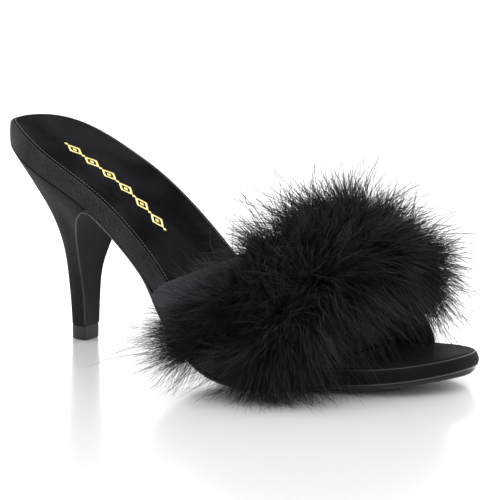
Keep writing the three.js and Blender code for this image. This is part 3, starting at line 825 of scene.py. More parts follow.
def makeVamp():
    look = vampLook
    wall, gap, turned, folded = look["wall"], last["gap"], look["turned"], look["foldSteps"]
    (firstCut, nextCut), (first, second, third) = look["cornerCuts"], look["outerClimb"]

    def foot(t):
        # Out from the footbed's edge and up from its top, for the face against the foot and the outer face
        return [
            ((-look["margin"], turned - t), (-look["margin"], -t)),
            ((-look["turnIn"], turned - t), (wall - look["turnIn"], -t)),
            ((gap * 0.5, turned - t), (gap + wall - firstCut, first - t)),
            ((gap, turned - t + look["innerClimb"][0]), (gap + wall - nextCut, second - t)),
            ((gap, turned - t + look["innerClimb"][1]), (gap + wall, third - t)),
            *(((gap, -t * share), (gap + wall, -t * share)) for share in look["sides"]),
        ]

    def sideColumns(side, at, order):
        columns = []
        for (innerOut, innerUp), (outerOut, outerUp) in foot(boardAt(at))[::order]:
            out, up = innerOut + (outerOut - innerOut) * lift, innerUp + (outerUp - innerUp) * lift
            columns.append(vampSide(along, side, out, up))
        return columns

    turns = eased(look["over"])
    close, wide = look["closeStations"], look["openStations"]
    stations = np.concatenate(
        [np.linspace(0, look["closeTo"], close, endpoint=False), np.linspace(look["closeTo"], 1, wide)]
    )
    # Once round the wall: the outer face forwards, over the front fold, the inner face back, the rear fold
    part = np.arange(1, folded + 1) / (folded + 1)
    over = look["fold"] * np.sin(np.pi * part)
    along = np.concatenate([stations, 1 + over, stations[::-1], -over])
    lift = np.concatenate([np.ones(close + wide), 1 - part, np.zeros(close + wide), part])
    folds = np.zeros_like(along)
    for i, centre in enumerate(look["pleatsAt"]):
        width = look["pleatWidth"] * (1 + look["pleatWidens"] * centre)
        # Some pleats are shallower than others
        depth = 1 - look["pleatsVary"] * (1 - math.sin(5.1 * i))
        folds += depth * np.exp(-(((along - centre) / width) ** 2))
    columns = sideColumns(-1, vampOuter(along), 1)
    for turn in turns:
        fade = math.exp(-((min(turn, 1 - turn) / look["pleatFade"]) ** 2))
        raised = lift * wall + look["pleatDepth"] * folds * fade * (lift == 1)
        columns.append(vampArch(along, turn, raised))
    columns += sideColumns(1, vampInner(along), -1)
    grid = np.stack(columns)
    acrossRun = pathLength(grid)
    alongRun = pathLength(grid[len(columns) // 2])
    flat = flatOver(alongRun[None, :], acrossRun[:, :1])
    skin = Skin()
    ids = skin.grid(grid, flat, closeColumns=True)
    n = close + wide
    for end in (0, -1):
        outerEdge = ids[end][:n]
        innerEdge = ids[end][n + folded : 2 * n + folded][::-1]
        skin.skin(np.stack([outerEdge, innerEdge]))
        frontFold = ids[end][n - 1 : n + folded + 1]
        rearFold = np.append(ids[end][2 * n + folded - 1 :], ids[end][0])
        skin.faces.append(tuple(frontFold))
        skin.faces.append(tuple(rearFold))
    return settle(skin.build("vampBand", vampSatin), "vamp", "vamp")


makeVamp()
print("vamp made")


# Heel: ribs from the top lift's outline up to the rim under the seat

heelRows = [
    {"up": 0.0, "back": 0.0, "side": 0.0, "lip": 0.0},
    {"up": 0.12, "back": 0.025, "side": 0.02, "lip": 0.0},
    {"up": 0.25, "back": 0.065, "side": 0.05, "lip": 0.0},
    {"up": 0.36, "back": 0.105, "side": 0.095, "lip": 0.0},
    {"up": 0.46, "back": 0.165, "side": 0.165, "lip": 0.02},
    {"up": 0.56, "back": 0.265, "side": 0.265, "lip": 0.08},
    {"up": 0.66, "back": 0.42, "side": 0.38, "lip": 0.155},
    {"up": 0.75, "back": 0.6, "side": 0.505, "lip": 0.26},
    {"up": 0.83, "back": 0.75, "side": 0.65, "lip": 0.4},
    {"up": 0.9, "back": 0.87, "side": 0.8, "lip": 0.58},
    {"up": 0.96, "back": 0.955, "side": 0.925, "lip": 0.81},
    {"up": 1.0, "back": 1.0, "side": 1.0, "lip": 1.0},
]
heelLook = {
    "inset": 0.4,
    "breastAt": 0.266,
    "liftHeight": 5.7,
    "liftHalf": 4.7,
    "liftLength": 8.6,
    "liftFront": 37.5,
    "liftPower": 2.8,
    "hollow": 0.22,
    "hollowEnds": 1.05,
    "crowding": 0.9,
    "sliver": 0.0004,
    "closeOver": 40,
    "round": 60,
    "breast": 20,
    "lowLevels": (0, 0.004),
    "levelsFrom": 0.012,
    "levels": 90,
    "footIn": 0.03,
    "footDown": 0.1,
}
heelBack = smoothColumn(heelRows, "up", "back")
heelSide = smoothColumn(heelRows, "up", "side")
heelLip = smoothColumn(heelRows, "up", "lip")


def liftPoint(turn):
    angle = math.pi * (np.asarray(turn, float) - 0.5)
    power = 2 / heelLook["liftPower"]
    reach = np.abs(np.cos(angle)) ** power
    x = heelLook["liftFront"] - heelLook["liftLength"] * reach
    y = heelLook["liftHalf"] * np.sign(np.sin(angle)) * np.abs(np.sin(angle)) ** power
    return x, y, reach


def heelRibs():
    # Round the back from the outer corner to the inner one, then across the breast
    look = heelLook
    turns = eased(look["round"])
    x, y, reach = liftPoint(turns)
    away = np.abs(turns - 0.5) * 2
    at = look["breastAt"] * (1 - np.cos(np.pi / 2 * away ** look["crowding"])) + look["sliver"]
    hand = np.where(turns < 0.5, -1.0, 1.0) * np.minimum(1, away * look["closeOver"])
    rim = onLast(at, hand * (halfWidth(at) - look["inset"]), -boardAt(at) - last["gap"])
    across = np.cos(np.linspace(0, math.pi, look["breast"] + 2)[1:-1])
    breastHalf = halfWidth(look["breastAt"]) - look["inset"]
    breastRim = onLast(look["breastAt"], across * breastHalf, -boardAt(look["breastAt"]) - last["gap"])
    return {
        "x": np.concatenate([x, np.full(len(across), look["liftFront"])]),
        "y": np.concatenate([y, look["liftHalf"] * across]),
        "rim": np.concatenate([rim, breastRim]),
        "reach": np.concatenate([reach, 0 * across]),
        "hollow": np.concatenate([0 * x, 1 - across**2]),
    }


def heelLevel(ribs, up):
    look = heelLook
    low = look["liftHeight"] + last["gap"]
    along = heelLip(up) + (heelBack(up) - heelLip(up)) * ribs["reach"]
    wide = heelSide(up)
    halfHere = look["liftHalf"] + wide * (halfWidth(look["breastAt"]) - look["liftHalf"])
    scoop = look["hollow"] * halfHere * ribs["hollow"] * math.sin(math.pi * min(1, up * look["hollowEnds"]))
    x = ribs["x"] + (ribs["rim"][:, 0] - ribs["x"]) * along - np.maximum(0, scoop)
    y = ribs["y"] + (ribs["rim"][:, 1] - ribs["y"]) * wide
    z = low + (ribs["rim"][:, 2] - low) * up
    return np.stack([x, y, z], -1)


def makeHeel():
    look = heelLook
    ribs = heelRibs()
    ups = np.concatenate([look["lowLevels"], np.linspace(look["levelsFrom"], 1.0, look["levels"])])
    levels = np.stack([heelLevel(ribs, float(up)) for up in ups])
    # The foot of the heel has a fine rounded edge
    levels[0] = levels[0] + (levels[0].mean(0) - levels[0]) * look["footIn"]
    levels[0][:, 2] -= look["footDown"]
    girth = pathLength(levels[look["levels"] // 2])
    height = pathLength(levels)
    flat = flatOver(height[:, :1], girth[None, :])
    skin = Skin()
    ids = skin.tube(levels, flat, ends=[0])
    # The top is closed by rows from side to side, just under the footbed
    seatRing = list(ids[-1][: look["round"]])
    across = list(ids[-1][look["round"] :])
    half = look["round"] // 2
    for k in range(half - 1):
        skin.faces.append((seatRing[k], seatRing[k + 1], seatRing[-2 - k], seatRing[-1 - k]))
    skin.faces.append(tuple([seatRing[-1], *across, seatRing[0]]))
    settle(skin.build("heelCover", heelSatin), "heel", "heel")
    return ribs


ribsOfHeel = makeHeel()
print("heel made")


tubeLook = {"sides": 8, "ends": 0.4, "up": (0.31, 0.2, 0.93)}


def tubeAlong(name, path, radius, material):
    # A fine closed tube along a path in millimetres
    sides = tubeLook["sides"]
    path = np.asarray(path, float)
    ahead = np.gradient(path, axis=0)
    ahead /= np.linalg.norm(ahead, axis=1, keepdims=True)
    side = np.cross(ahead, tubeLook["up"])
    side /= np.linalg.norm(side, axis=1, keepdims=True)
    other = np.cross(side, ahead)
    turn = np.arange(sides) * 2 * math.pi / sides
    size = np.full(len(path), radius)
    size[[0, -1]] = radius * tubeLook["ends"]
    ring = side[:, None] * np.cos(turn)[None, :, None] + other[:, None] * np.sin(turn)[None, :, None]
    grid = path[:, None] + ring * size[:, None, None]
    skin = Skin()
    skin.tube(grid, flatOver(pathLength(path)[:, None], (turn * radius)[None, :]))
    return skin.build(name, material)


seamLook = {
    "radius": 0.26,
    "from": 0.01,
    "to": 0.97,
    "closeFrom": 0.9,
    "points": 110,
    "closePoints": 26,
    "closeStep": 0.005,
    "underGap": 0.008,
    "underRun": 0.1,
    "underPoints": 24,
    "underInset": 0.25,
    "underDrop": 0.12,
    "smoothing": 6,
    "proud": 0.05,
}


def makeHeelSeam():
    # The cover's folded edge stands up a little along both corners of the breast, and turns over at the top
    # to run forward under the footbed's edge
    look, breast = seamLook, heelLook["breastAt"]
    low = np.linspace(look["from"], look["closeFrom"], look["points"])
    high = np.linspace(look["closeFrom"] + look["closeStep"], look["to"], look["closePoints"])
    for rib, hand in ((0, -1), (heelLook["round"] - 1, 1)):
        up = np.array([heelLevel(ribsOfHeel, float(rise))[rib] for rise in [*low, *high]])
        at = np.linspace(breast + look["underGap"], breast + look["underRun"], look["underPoints"])
        under = onLast(at, hand * (halfWidth(at) - look["underInset"]), -boardAt(at) - look["underDrop"])
        path = np.concatenate([up, under])
        for _ in range(look["smoothing"]):
            path[1:-1] = (path[:-2] + 2 * path[1:-1] + path[2:]) / 4
        path[:, 1] += hand * look["proud"]
        settle(tubeAlong("heelSeam" + str(rib), path, look["radius"], seamEdge), "heel")


makeHeelSeam()
print("heel seam made")


# Toe edge: the wrap's fold along the top, and a polished bead between the band and the sole

toeEdgeLook = {
    "foldFrom": 0.8,
    "fold": 0.45,
    "foldInset": 0.26,
    "beadFrom": 0.6,
    "bead": 0.36,
    "beadInset": 0.75,
    "beadDrop": 0.1,
}


def makeToeEdge():
    look = toeEdgeLook
    count = footbedLook["around"]
    share, _ = ringTurns(count)
    _, r = edgeRound(share)
    corner = r * (1 - math.sqrt(0.5)) + look["foldInset"]
    foldPath = outlineRing(corner, -corner, count)[share > look["foldFrom"]]
    inset = np.full(count, look["beadInset"])
    beadPath = outlineRing(inset, -boardAt(share) - look["beadDrop"], count)[share > look["beadFrom"]]
    settle(tubeAlong("toeFold", foldPath, look["fold"], foldEdge), "footbed")
    settle(tubeAlong("soleBead", beadPath, look["bead"], edgePolish), "outsole")


makeToeEdge()
print("toe edge made")


# Top lift: a moulded block with softened edges

liftRows = [
    {"inset": 0.9, "height": 0.0},
    {"inset": 0.3, "height": 0.1},
    {"inset": 0.1, "height": 0.4},
    {"inset": 0.02, "height": 2.8},
    {"inset": 0.02, "height": 5.5},
    {"inset": 0.2, "height": 5.85},
]
liftLook = {"round": 72, "across": 12}


def makeLift():
    look = liftLook
    turns = eased(look["round"])
    x, y, _ = liftPoint(turns)
    across = np.cos(np.linspace(0, math.pi, look["across"] + 2)[1:-1])
    x = np.concatenate([x, np.full(len(across), heelLook["liftFront"])])
    y = np.concatenate([y, heelLook["liftHalf"] * across])
    centre = heelLook["liftFront"] - heelLook["liftLength"] / 2
    rings = []
    for row in liftRows:
        k = 1 - row["inset"] / heelLook["liftHalf"]
        rings.append(np.stack([centre + (x - centre) * k, y * k, np.full(len(x), row["height"])], -1))
    rings = np.stack(rings)
    flat = flatOver(pathLength(rings[2])[None, :], pathLength(rings)[:, :1])
    skin = Skin()
    skin.tube(rings, flat)
    return settle(skin.build("topLift", liftRubber), "top_lift", "top_lift")


makeLift()


# Outsole: thin, with a glossy rounded edge

soleRows = [
    {"at": 0.0, "grow": 0.0},
    {"at": 0.42, "grow": 0.1},
    {"at": 0.5, "grow": 1.7},
    {"at": 0.8, "grow": 1.7},
    {"at": 0.88, "grow": 0.2},
    {"at": 1.0, "grow": 0.0},
]
# From the flat under the foot round the edge, in heights of the edge's lift, and then to the face under the
# footbed, in millimetres
soleEdge = [
    {"in": 5.0, "up": 0.0},
    {"in": 2.2, "up": 0.22},
    {"in": 1.0, "up": 0.6},
    {"in": 0.35, "up": 1.0},
    {"in": 0.05, "up": 1.5},
    {"in": 0.0, "up": 1.9},
]
soleTop = [{"in": 0.15, "down": 0.25}, {"in": 0.45, "down": 0.0}, {"in": 4.0, "down": 0.0}]
soleLook = {
    "inset": 1.3,
    "fromBreast": 2,
    "sliver": 0.0002,
    "growEnds": 0.02,
    "lift": 0.8,
    "flat": 0.4,
    "fullHalf": 10,
    "rows": 150,
}
soleGrow = smoothColumn(soleRows, "at", "grow")


def makeSole():
    look = soleLook
    start = heelLook["breastAt"] + look["fromBreast"] / last["length"]
    stop = 1 - look["inset"] / last["length"] - look["sliver"]
    at = eased(look["rows"], start, stop, False, True)
    top = -boardAt(at) - last["gap"]
    low = top - last["sole"]
    grow = soleGrow(at) * vampLook["wall"] * np.clip((1 - at) / look["growEnds"], 0, 1)
    half = halfWidth(at, look["inset"]) + grow
    lift = look["lift"]
    tight = np.clip(half / look["fullHalf"], 0, 1)
    side = [(row["in"] * lift, low + row["up"] * lift) for row in soleEdge]
    side += [(row["in"], top - row["down"]) for row in soleTop]
    columns = []
    for hand in (1, -1):
        points = [(half * look["flat"], low)] + [(half - inset * tight, above) for inset, above in side]
        columns += [onLast(at, hand * across, above) for across, above in points[::hand]]
    grid = np.stack(columns, 1)
    grid[..., 2] = np.maximum(grid[..., 2], 0.0)
    girth = pathLength(grid, 1)[look["rows"] // 2]
    skin = Skin()
    skin.tube(grid, flatOver(at[:, None] * last["length"], girth[None, :]))
    return settle(skin.build("outsoleShell", soleGloss), "outsole", "outsole")


makeSole()
print("outsole and top lift made")


# Repeats on a path or over a surface, by Geometry Nodes

def geometryTree(name, inputs):
    shape = ("Geometry", "Geometry")
    return makeTree(name, "GeometryNodeTree", [(*shape, None), *inputs], [shape])


def attribute(tree, name, kind="FLOAT_VECTOR"):
    return node(tree, "GeometryNodeInputNamedAttribute", {"Name": name}, data_type=kind).outputs[0]


def makeStitchTree():
    tree, given, out = geometryTree(
        "stitchesOnPath",
        [
            ("Stitch", "Object", None),
            ("Spacing", "Float", 0.0022),
            ("Length", "Float", 0.0016),
            ("Thickness", "Float", 0.0003),
            ("Finish", "Material", None),
        ],
    )
    curve = node(tree, "GeometryNodeMeshToCurve", {"Mesh": given["Geometry"]}).outputs[0]
    spaced = {"Curve": curve, "Length": given["Spacing"]}
    points = node(tree, "GeometryNodeCurveToPoints", spaced, mode="LENGTH").outputs
    stitch = node(tree, "GeometryNodeObjectInfo", {"Object": given["Stitch"]}).outputs["Geometry"]
    size = {"X": given["Thickness"], "Y": given["Thickness"], "Z": given["Length"]}
    placed = {
        "Points": points["Points"],
        "Instance": stitch,
        "Rotation": points["Rotation"],
        "Scale": node(tree, "ShaderNodeCombineXYZ", size).outputs[0],
    }
    put = node(tree, "GeometryNodeInstanceOnPoints", placed).outputs[0]
    real = node(tree, "GeometryNodeRealizeInstances", {0: put}).outputs[0]
    paint = {"Geometry": real, "Material": given["Finish"]}
    link(tree, node(tree, "GeometryNodeSetMaterial", paint).outputs[0], out[0])
    return tree


def runTree(carrier, tree, values, name):
    # Sets the inputs, evaluates once, and keeps the result as a plain mesh
    modifier = carrier.modifiers.new("nodes", "NODES")
    modifier.node_group = tree
    for item in tree.interface.items_tree:
        if item.item_type == "SOCKET" and item.in_out == "INPUT" and item.name in values:
            modifier[item.identifier] = values[item.name]
    carrier.update_tag()
    bpy.context.view_layer.update()
    graph = bpy.context.evaluated_depsgraph_get()
    mesh = bpy.data.meshes.new_from_object(carrier.evaluated_get(graph))
    mesh.name = name
    carrier.modifiers.remove(modifier)
    bpy.data.objects.remove(carrier)
    return addObject(name, mesh)


stitchShape = {"sides": 6, "rings": [(-0.5, 0.12), (-0.4, 0.4), (0.0, 0.5), (0.4, 0.4), (0.5, 0.12)]}


def capsule():
    # A stitch one unit long and one unit thick, along Z
    work = bmesh.new()
    sides = stitchShape["sides"]
    turn = [2 * math.pi * k / sides for k in range(sides)]
    rows = [
        [work.verts.new((r * math.cos(t), r * math.sin(t), z)) for t in turn] for z, r in stitchShape["rings"]
    ]
    for low, high in zip(rows, rows[1:]):
        for k in range(sides):
            work.faces.new((low[k], low[(k + 1) % sides], high[(k + 1) % sides], high[k]))
    work.faces.new(rows[0][::-1])
    work.faces.new(rows[-1])
    mesh = bpy.data.meshes.new("stitchUnit")
    work.to_mesh(mesh)
    work.free()
    return addObject("stitchUnit", mesh)


stitchLook = {
    "inset": 2.5,
    "above": 0.36,
    "spacing": 1.5,
    "length": 1.05,
    "thickness": 0.26,
    "heelGap": 0.0004,
    "stopBefore": 0.01,
    "points": 160,
}
stitchTree = makeStitchTree()
stitchUnit = capsule()


def liningStitches():
    # One line of stitches down the outer side, round the back of the heel and up the inner side
    look = stitchLook
    start = look["inset"] / last["length"] + look["heelGap"]
    at = eased(look["points"], start, liningLook["endsAt"] - look["stopBefore"], True, False)
    half = halfWidth(at, look["inset"])
    sides = [onLast(at, -half, look["above"])[::-1], onLast(at, half, look["above"])]
    points = toFrame(np.concatenate(sides))
    mesh = bpy.data.meshes.new("liningStitchesPath")
    mesh.from_pydata(points.tolist(), [(i, i + 1) for i in range(len(points) - 1)], [])
    values = {
        "Stitch": stitchUnit,
        "Spacing": look["spacing"] * mm,
        "Length": look["length"] * mm,
        "Thickness": look["thickness"] * mm,
        "Finish": threadBlack,
    }
    carrier = addObject("liningStitchesPath", mesh, smooth=False)
    return settle(runTree(carrier, stitchTree, values, "liningStitches"), "sock_lining")


liningStitches()
print("stitches made")


# Foil ornament on the lining: a plain row of lozenges with a bead between each

ornamentLook = {
    "from": 0.152,
    "to": 0.352,
    "across": -4.4,
    "lozenges": 6,
    "halfLength": 4.1,
    "halfWidth": 3.3,
    "band": 0.72,
    "bead": 0.75,
    "thickness": 0.12,
    "sunk": 0.05,
    "corner": 1.9,
    "bandEnds": 1.9,
    "bandSides": 1.6,
    "dot": (1.2, 0.95),
    "points": 24,
    "dotPoints": 12,
}


def makeOrnament():
    look = ornamentLook
    skin = Skin()
    places = np.linspace(look["from"], look["to"], look["lozenges"])

    def stamp(centreAt, rings):
        # A flat plate, or a flat band where two rings are given
        shaped = []
        for ring in rings:
            ring = np.asarray(ring)
            at = centreAt + ring[:, 0] / last["length"]
            across = look["across"] + ring[:, 1]
            half = halfWidth(at, footbedLook["rim"])
            above = liningRise(at, half, across / half)
            low, high = (onLast(at, across, above + rise) for rise in (-look["sunk"], look["thickness"]))
            shaped.append((low, high, np.stack([at * last["length"], across], -1)))
        if len(shaped) == 1:
            low, high, flat = shaped[0]
            skin.tube(np.stack([low, high]), np.stack([flat, flat]))
            return
        (lowA, highA, flatA), (lowB, highB, flatB) = shaped
        rows = np.stack([lowA, highA, highB, lowB])
        skin.grid(rows, np.stack([flatA, flatA, flatB, flatB]), closeRows=True, closeColumns=True)

    def lozenge(a, b, count=look["points"], power=look["corner"]):
        turn = np.arange(count) * 2 * math.pi / count
        x = a * np.sign(np.cos(turn)) * np.abs(np.cos(turn)) ** power
        y = b * np.sign(np.sin(turn)) * np.abs(np.sin(turn)) ** power
        return np.stack([x, y], -1)

    band = look["band"]
    for centreAt in places:
        a, b = look["halfLength"], look["halfWidth"]
        hole = lozenge(a - look["bandEnds"] * band, b - look["bandSides"] * band)
        stamp(centreAt, [lozenge(a, b), hole])
        stamp(centreAt, [lozenge(*look["dot"], look["dotPoints"])])
    step = (places[1] - places[0]) / 2
    for centreAt in [*(places - step), places[-1] + step]:
        stamp(centreAt, [lozenge(look["bead"], look["bead"], look["dotPoints"], 1.0)])
    return settle(skin.build("foilOrnament", foil), "sock_lining")


makeOrnament()
print("ornament made")


# Marabou: a dark ground of down for each row, and fine wisps grown round it by Geometry Nodes

marabouRows = [
    {
        "name": "Rear", "node": "marabou_rear_row", "side": 0.38, "crown": 0.62, "height": 13.5,
        "facing": -1, "thin": 0.24, "thinAt": 0.32, "hang": 0.1, "sweep": 1.1, "splay": -0.6,
    },
    {
        "name": "Front", "node": "marabou_front_row", "side": 0.74, "crown": 0.94, "height": 11.5,
        "facing": 1, "thin": -0.08, "thinAt": 0.72, "hang": 1.8, "sweep": -0.1, "splay": 0.3,
    },
]
marabouLook = {
    "outerHeight": 7.0,
    "innerHeight": 3.5,
    "risePower": 0.7,
    "closeOver": 0.07,
    "closeTo": 0.02,
    "outerEnd": 0.85,
    "innerEnd": 0.42,
    "innerFall": 1.6,
    "ground": 9.5,
    "groundLength": 150,
    "groundRound": 15.0,
    "lowest": 2.2,
    "rowsOver": 90,
    "columnsRound": 20,
    "stepOut": 5,
    "stepAhead": 0.05,
    "bumps": {"depth": 0.12, "over": 41, "round": 3},
    "ripples": {"depth": 0.1, "over": 97, "round": 2},
    "floorAt": 0.5,
}


def rowFrame(row, turn):
    # The cord's middle, and the ways out of the vamp and ahead along it
    look, wall = marabouLook, vampLook["wall"]
    turn = np.asarray(turn, float)
    along = row["side"] + (row["crown"] - row["side"]) * np.sin(math.pi * turn)
    end = np.where(turn < 0.5, look["outerHeight"], look["innerHeight"])
    height = end + (row["height"] - end) * np.abs(np.sin(math.pi * turn)) ** look["risePower"]
    middle = vampArch(along, turn, wall + height)
    out = vampArch(along, turn, wall + height + look["stepOut"]) - middle
    out /= np.linalg.norm(out, axis=-1, keepdims=True)
    step = look["stepAhead"]
    ahead = vampArch(along + step, turn, wall) - vampArch(along - step, turn, wall)
    ahead -= out * np.einsum("ri,ri->r", ahead, out)[:, None]
    ahead /= np.linalg.norm(ahead, axis=-1, keepdims=True)
    return middle, out, ahead


def rowSize(turns):
    # The down is fullest over the top, and sparser at the inner end of a row than at the outer one
    look = marabouLook
    over = np.abs(np.sin(math.pi * turns))
    outer = look["outerEnd"] + (1 - look["outerEnd"]) * over
    inner = look["innerEnd"] + (1 - look["innerEnd"]) * over ** look["innerFall"]
    return np.where(turns < 0.5, outer, inner)


def cordSurface(row, radius, seed):
    # A tube round the row's cord, with the way out of it at each point
    look = marabouLook
    turns = np.linspace(0.0, 1.0, look["rowsOver"])
    middle, out, ahead = rowFrame(row, turns)
    angle = np.arange(look["columnsRound"]) * 2 * math.pi / look["columnsRound"]
    away = ahead[:, None] * np.cos(angle)[None, :, None] + out[:, None] * np.sin(angle)[None, :, None]
    bumps, ripples = look["bumps"], look["ripples"]
    wobble = np.sin(turns * bumps["over"] + seed)[:, None] * np.sin(bumps["round"] * angle + seed)[None, :]
    ripple = np.sin(turns * ripples["over"] + 2 * seed)[:, None] * np.cos(ripples["round"] * angle)[None, :]
    wobble = 1 + bumps["depth"] * wobble + ripples["depth"] * ripple
    closing = 1 - np.clip(np.minimum(turns, 1 - turns) / look["closeOver"], 0, 1)
    size = rowSize(turns) * np.sqrt(np.maximum(1 - closing**2, look["closeTo"]))
    surface = middle[:, None] + away * (radius * wobble * size[:, None])[..., None]
    surface[..., 2] = np.maximum(surface[..., 2], look["lowest"])
    return turns, angle, surface, away, out, ahead


def makeGround(row, seed):
    look = marabouLook
    turns, angle, surface, *_ = cordSurface(row, look["ground"], seed)
    skin = Skin()
    flat = flatOver(turns[:, None] * look["groundLength"], (angle * look["groundRound"])[None, :])
    skin.tube(surface, flat)
    return settle(skin.build("downGround" + row["name"], coreDark), row["node"], row["node"])


for i, row in enumerate(marabouRows):
    makeGround(row, 1.0 + i)
print("marabou ground made")


wispLook = {
    "kinds": 12,
    "firstSeed": 700,
    "sides": 3,
    "ownCurl": 0.6,
    "toneSpread": 0.25,
    "rootSpread": 0.02,
    "waves": 5.0,
    "taper": 0.6,
    "step": 0.02,
}


def makeWisp(index, kind):
    # A few fine hairs from one root, one unit long, that part from each other towards their tips
    look = wispLook
    dice = random.Random(look["firstSeed"] + index)
    sides, stops = look["sides"], kind["stops"]
    points, faces, along, shade = [], [], [], []

    def either(size, height=0):
        return Vector((dice.uniform(-size, size), dice.uniform(-size, size), height))

    common = either(1) * kind["curl"]
    tone = dice.random()
    for _ in range(kind["hairs"]):
        lean = either(kind["spread"], 1).normalized()
        bend = common + either(kind["curl"] * look["ownCurl"])
        wave = either(1) * kind["wave"]
        length = dice.uniform(kind["shortest"], 1.0)
        hairTone = min(1.0, max(0.0, tone + dice.uniform(-look["toneSpread"], look["toneSpread"])))
        root = either(look["rootSpread"])

        def at(s):
            return root + lean * (length * s) + bend * (length * s * s) + wave * math.sin(s * look["waves"])

        start = len(points)
        for s in stops:
            size = kind["radius"] * (1 - look["taper"] * s)
            ahead = (at(s + look["step"]) - at(s)).normalized()
            side = ahead.orthogonal().normalized()
            other = ahead.cross(side)
            for k in range(sides):
                turn = 2 * math.pi * k / sides
                points.append(at(s) + (side * math.cos(turn) + other * math.sin(turn)) * size)
        points.append(at(1.0))
        along += [s for s in stops for _ in range(sides)] + [1.0]
        shade += [hairTone] * (len(points) - start)
        faces.append(tuple(start + k for k in reversed(range(sides))))
        for r in range(len(stops)):
            for k in range(sides):
                a, b = start + sides * r + k, start + sides * r + (k + 1) % sides
                tip = r == len(stops) - 1
                faces.append((a, b, len(points) - 1) if tip else (a, b, b + sides, a + sides))
    mesh = bpy.data.meshes.new(f"wisp{index}")
    mesh.from_pydata([tuple(p) for p in points], [], faces)
    for name, values in (("along", along), ("shade", shade)):
        mesh.attributes.new(name, "FLOAT", "POINT").data.foreach_set("value", values)
    mesh.polygons.foreach_set("use_smooth", [True] * len(mesh.polygons))
    return bpy.data.objects.new(f"wisp{index}", mesh)


def makeWisps(name, first, kind):
    wisps = bpy.data.collections.new(name)
    for i in range(wispLook["kinds"]):
        wisps.objects.link(makeWisp(first + i, kind))
    return wisps


def makeDownTree():
    tree, given, out = geometryTree(
        "downOverSurface",
        [
            ("Wisps", "Collection", None),
            ("Wisps per square metre", "Float", 500000.0),
            ("Shortest", "Float", 0.014),
            ("Longest", "Float", 0.026),
            ("Tousle", "Float", 0.5),
            ("Sag per metre", "Float", 5.0),
            ("Floor height", "Float", 0.0006),
            ("Seed", "Int", 1),
            ("Finish", "Material", None),
        ],
    )
    seed = given["Seed"]
    density = maths(tree, "MULTIPLY", attribute(tree, "thick", "FLOAT"), given["Wisps per square metre"])
    surface = {"Mesh": given["Geometry"], "Density": density, "Seed": seed}
    points = node(tree, "GeometryNodeDistributePointsOnFaces", surface).outputs["Points"]
    # The root of each wisp is kept, so that the sag can grow with the distance from it
    here = node(tree, "GeometryNodeInputPosition").outputs[0]
    rooted = node(
        tree,
        "GeometryNodeStoreNamedAttribute",
        {"Name": "root", "Geometry": points, "Value": here},
        data_type="FLOAT_VECTOR",
        domain="POINT",
    )
    # Way of growth: the painted flow, tousled
    span = {"Min": (-1, -1, -1), "Max": (1, 1, 1), "Seed": seed}
    tousle = node(tree, "FunctionNodeRandomValue", span, data_type="FLOAT_VECTOR").outputs[0]
    tousled = {0: tousle, "Scale": given["Tousle"]}
    scaled = node(tree, "ShaderNodeVectorMath", tousled, operation="SCALE").outputs[0]
    both = {0: attribute(tree, "flow"), 1: scaled}
    way = node(tree, "ShaderNodeVectorMath", both, operation="ADD").outputs[0]
    align = node(tree, "FunctionNodeAlignRotationToVector", {"Vector": way}, axis="Z").outputs[0]
    turn = {2: 0.0, 3: 2 * math.pi, "Seed": seed}
    spin = node(tree, "FunctionNodeRandomValue", turn, data_type="FLOAT").outputs[1]
    about = node(tree, "FunctionNodeAxisAngleToRotation", {"Axis": (0, 0, 1), "Angle": spin}).outputs[0]
    turned = node(tree, "FunctionNodeRotateRotation", {0: align, 1: about}, rotation_space="LOCAL")
    lengths = {2: given["Shortest"], 3: given["Longest"], "Seed": seed}
    length = node(tree, "FunctionNodeRandomValue", lengths, data_type="FLOAT").outputs[1]
    kinds = {"Separate Children": True, "Reset Children": True, "Collection": given["Wisps"]}
    grown = {
        "Pick Instance": True,
        "Points": rooted.outputs[0],
        "Instance": node(tree, "GeometryNodeCollectionInfo", kinds).outputs[0],
        "Rotation": turned.outputs[0],
        "Scale": maths(tree, "MULTIPLY", length, attribute(tree, "reach", "FLOAT")),
    }
    put = node(tree, "GeometryNodeInstanceOnPoints", grown).outputs[0]
    real = node(tree, "GeometryNodeRealizeInstances", {0: put}).outputs[0]
    # Sag: down with the square of the distance from the root, and never through the floor
    apart = {0: here, 1: attribute(tree, "root")}
    gone = node(tree, "ShaderNodeVectorMath", apart, operation="DISTANCE").outputs["Value"]
    drop = maths(tree, "MULTIPLY", maths(tree, "MULTIPLY", gone, gone), given["Sag per metre"])
    split = node(tree, "ShaderNodeSeparateXYZ", {0: here}).outputs
    held = maths(tree, "MAXIMUM", maths(tree, "SUBTRACT", split["Z"], drop), given["Floor height"])
    joined = node(tree, "ShaderNodeCombineXYZ", {"X": split["X"], "Y": split["Y"], "Z": held}).outputs[0]
    moved = node(tree, "GeometryNodeSetPosition", {"Geometry": real, "Position": joined}).outputs[0]
    paint = {"Geometry": moved, "Material": given["Finish"]}
    link(tree, node(tree, "GeometryNodeSetMaterial", paint).outputs[0], out[0])
    return tree


downTree = makeDownTree()
softKind = {
    "hairs": 3, "stops": [0.0, 0.5],
    "spread": 0.32, "curl": 0.2, "wave": 0.02, "shortest": 0.55, "radius": 0.006,
}
longKind = {
    "hairs": 3, "stops": [0.0, 0.34, 0.68],
    "spread": 0.16, "curl": 0.14, "wave": 0.02, "shortest": 0.6, "radius": 0.0037,
}
strayKind = {
    "hairs": 2, "stops": [0.0, 0.28, 0.52, 0.76],
    "spread": 0.3, "curl": 0.42, "wave": 0.05, "shortest": 0.6, "radius": 0.0028,
}
softWisps = makeWisps("softWisps", 0, softKind)
longWisps = makeWisps("longWisps", 40, longKind)
strayWisps = makeWisps("strayWisps", 80, strayKind)

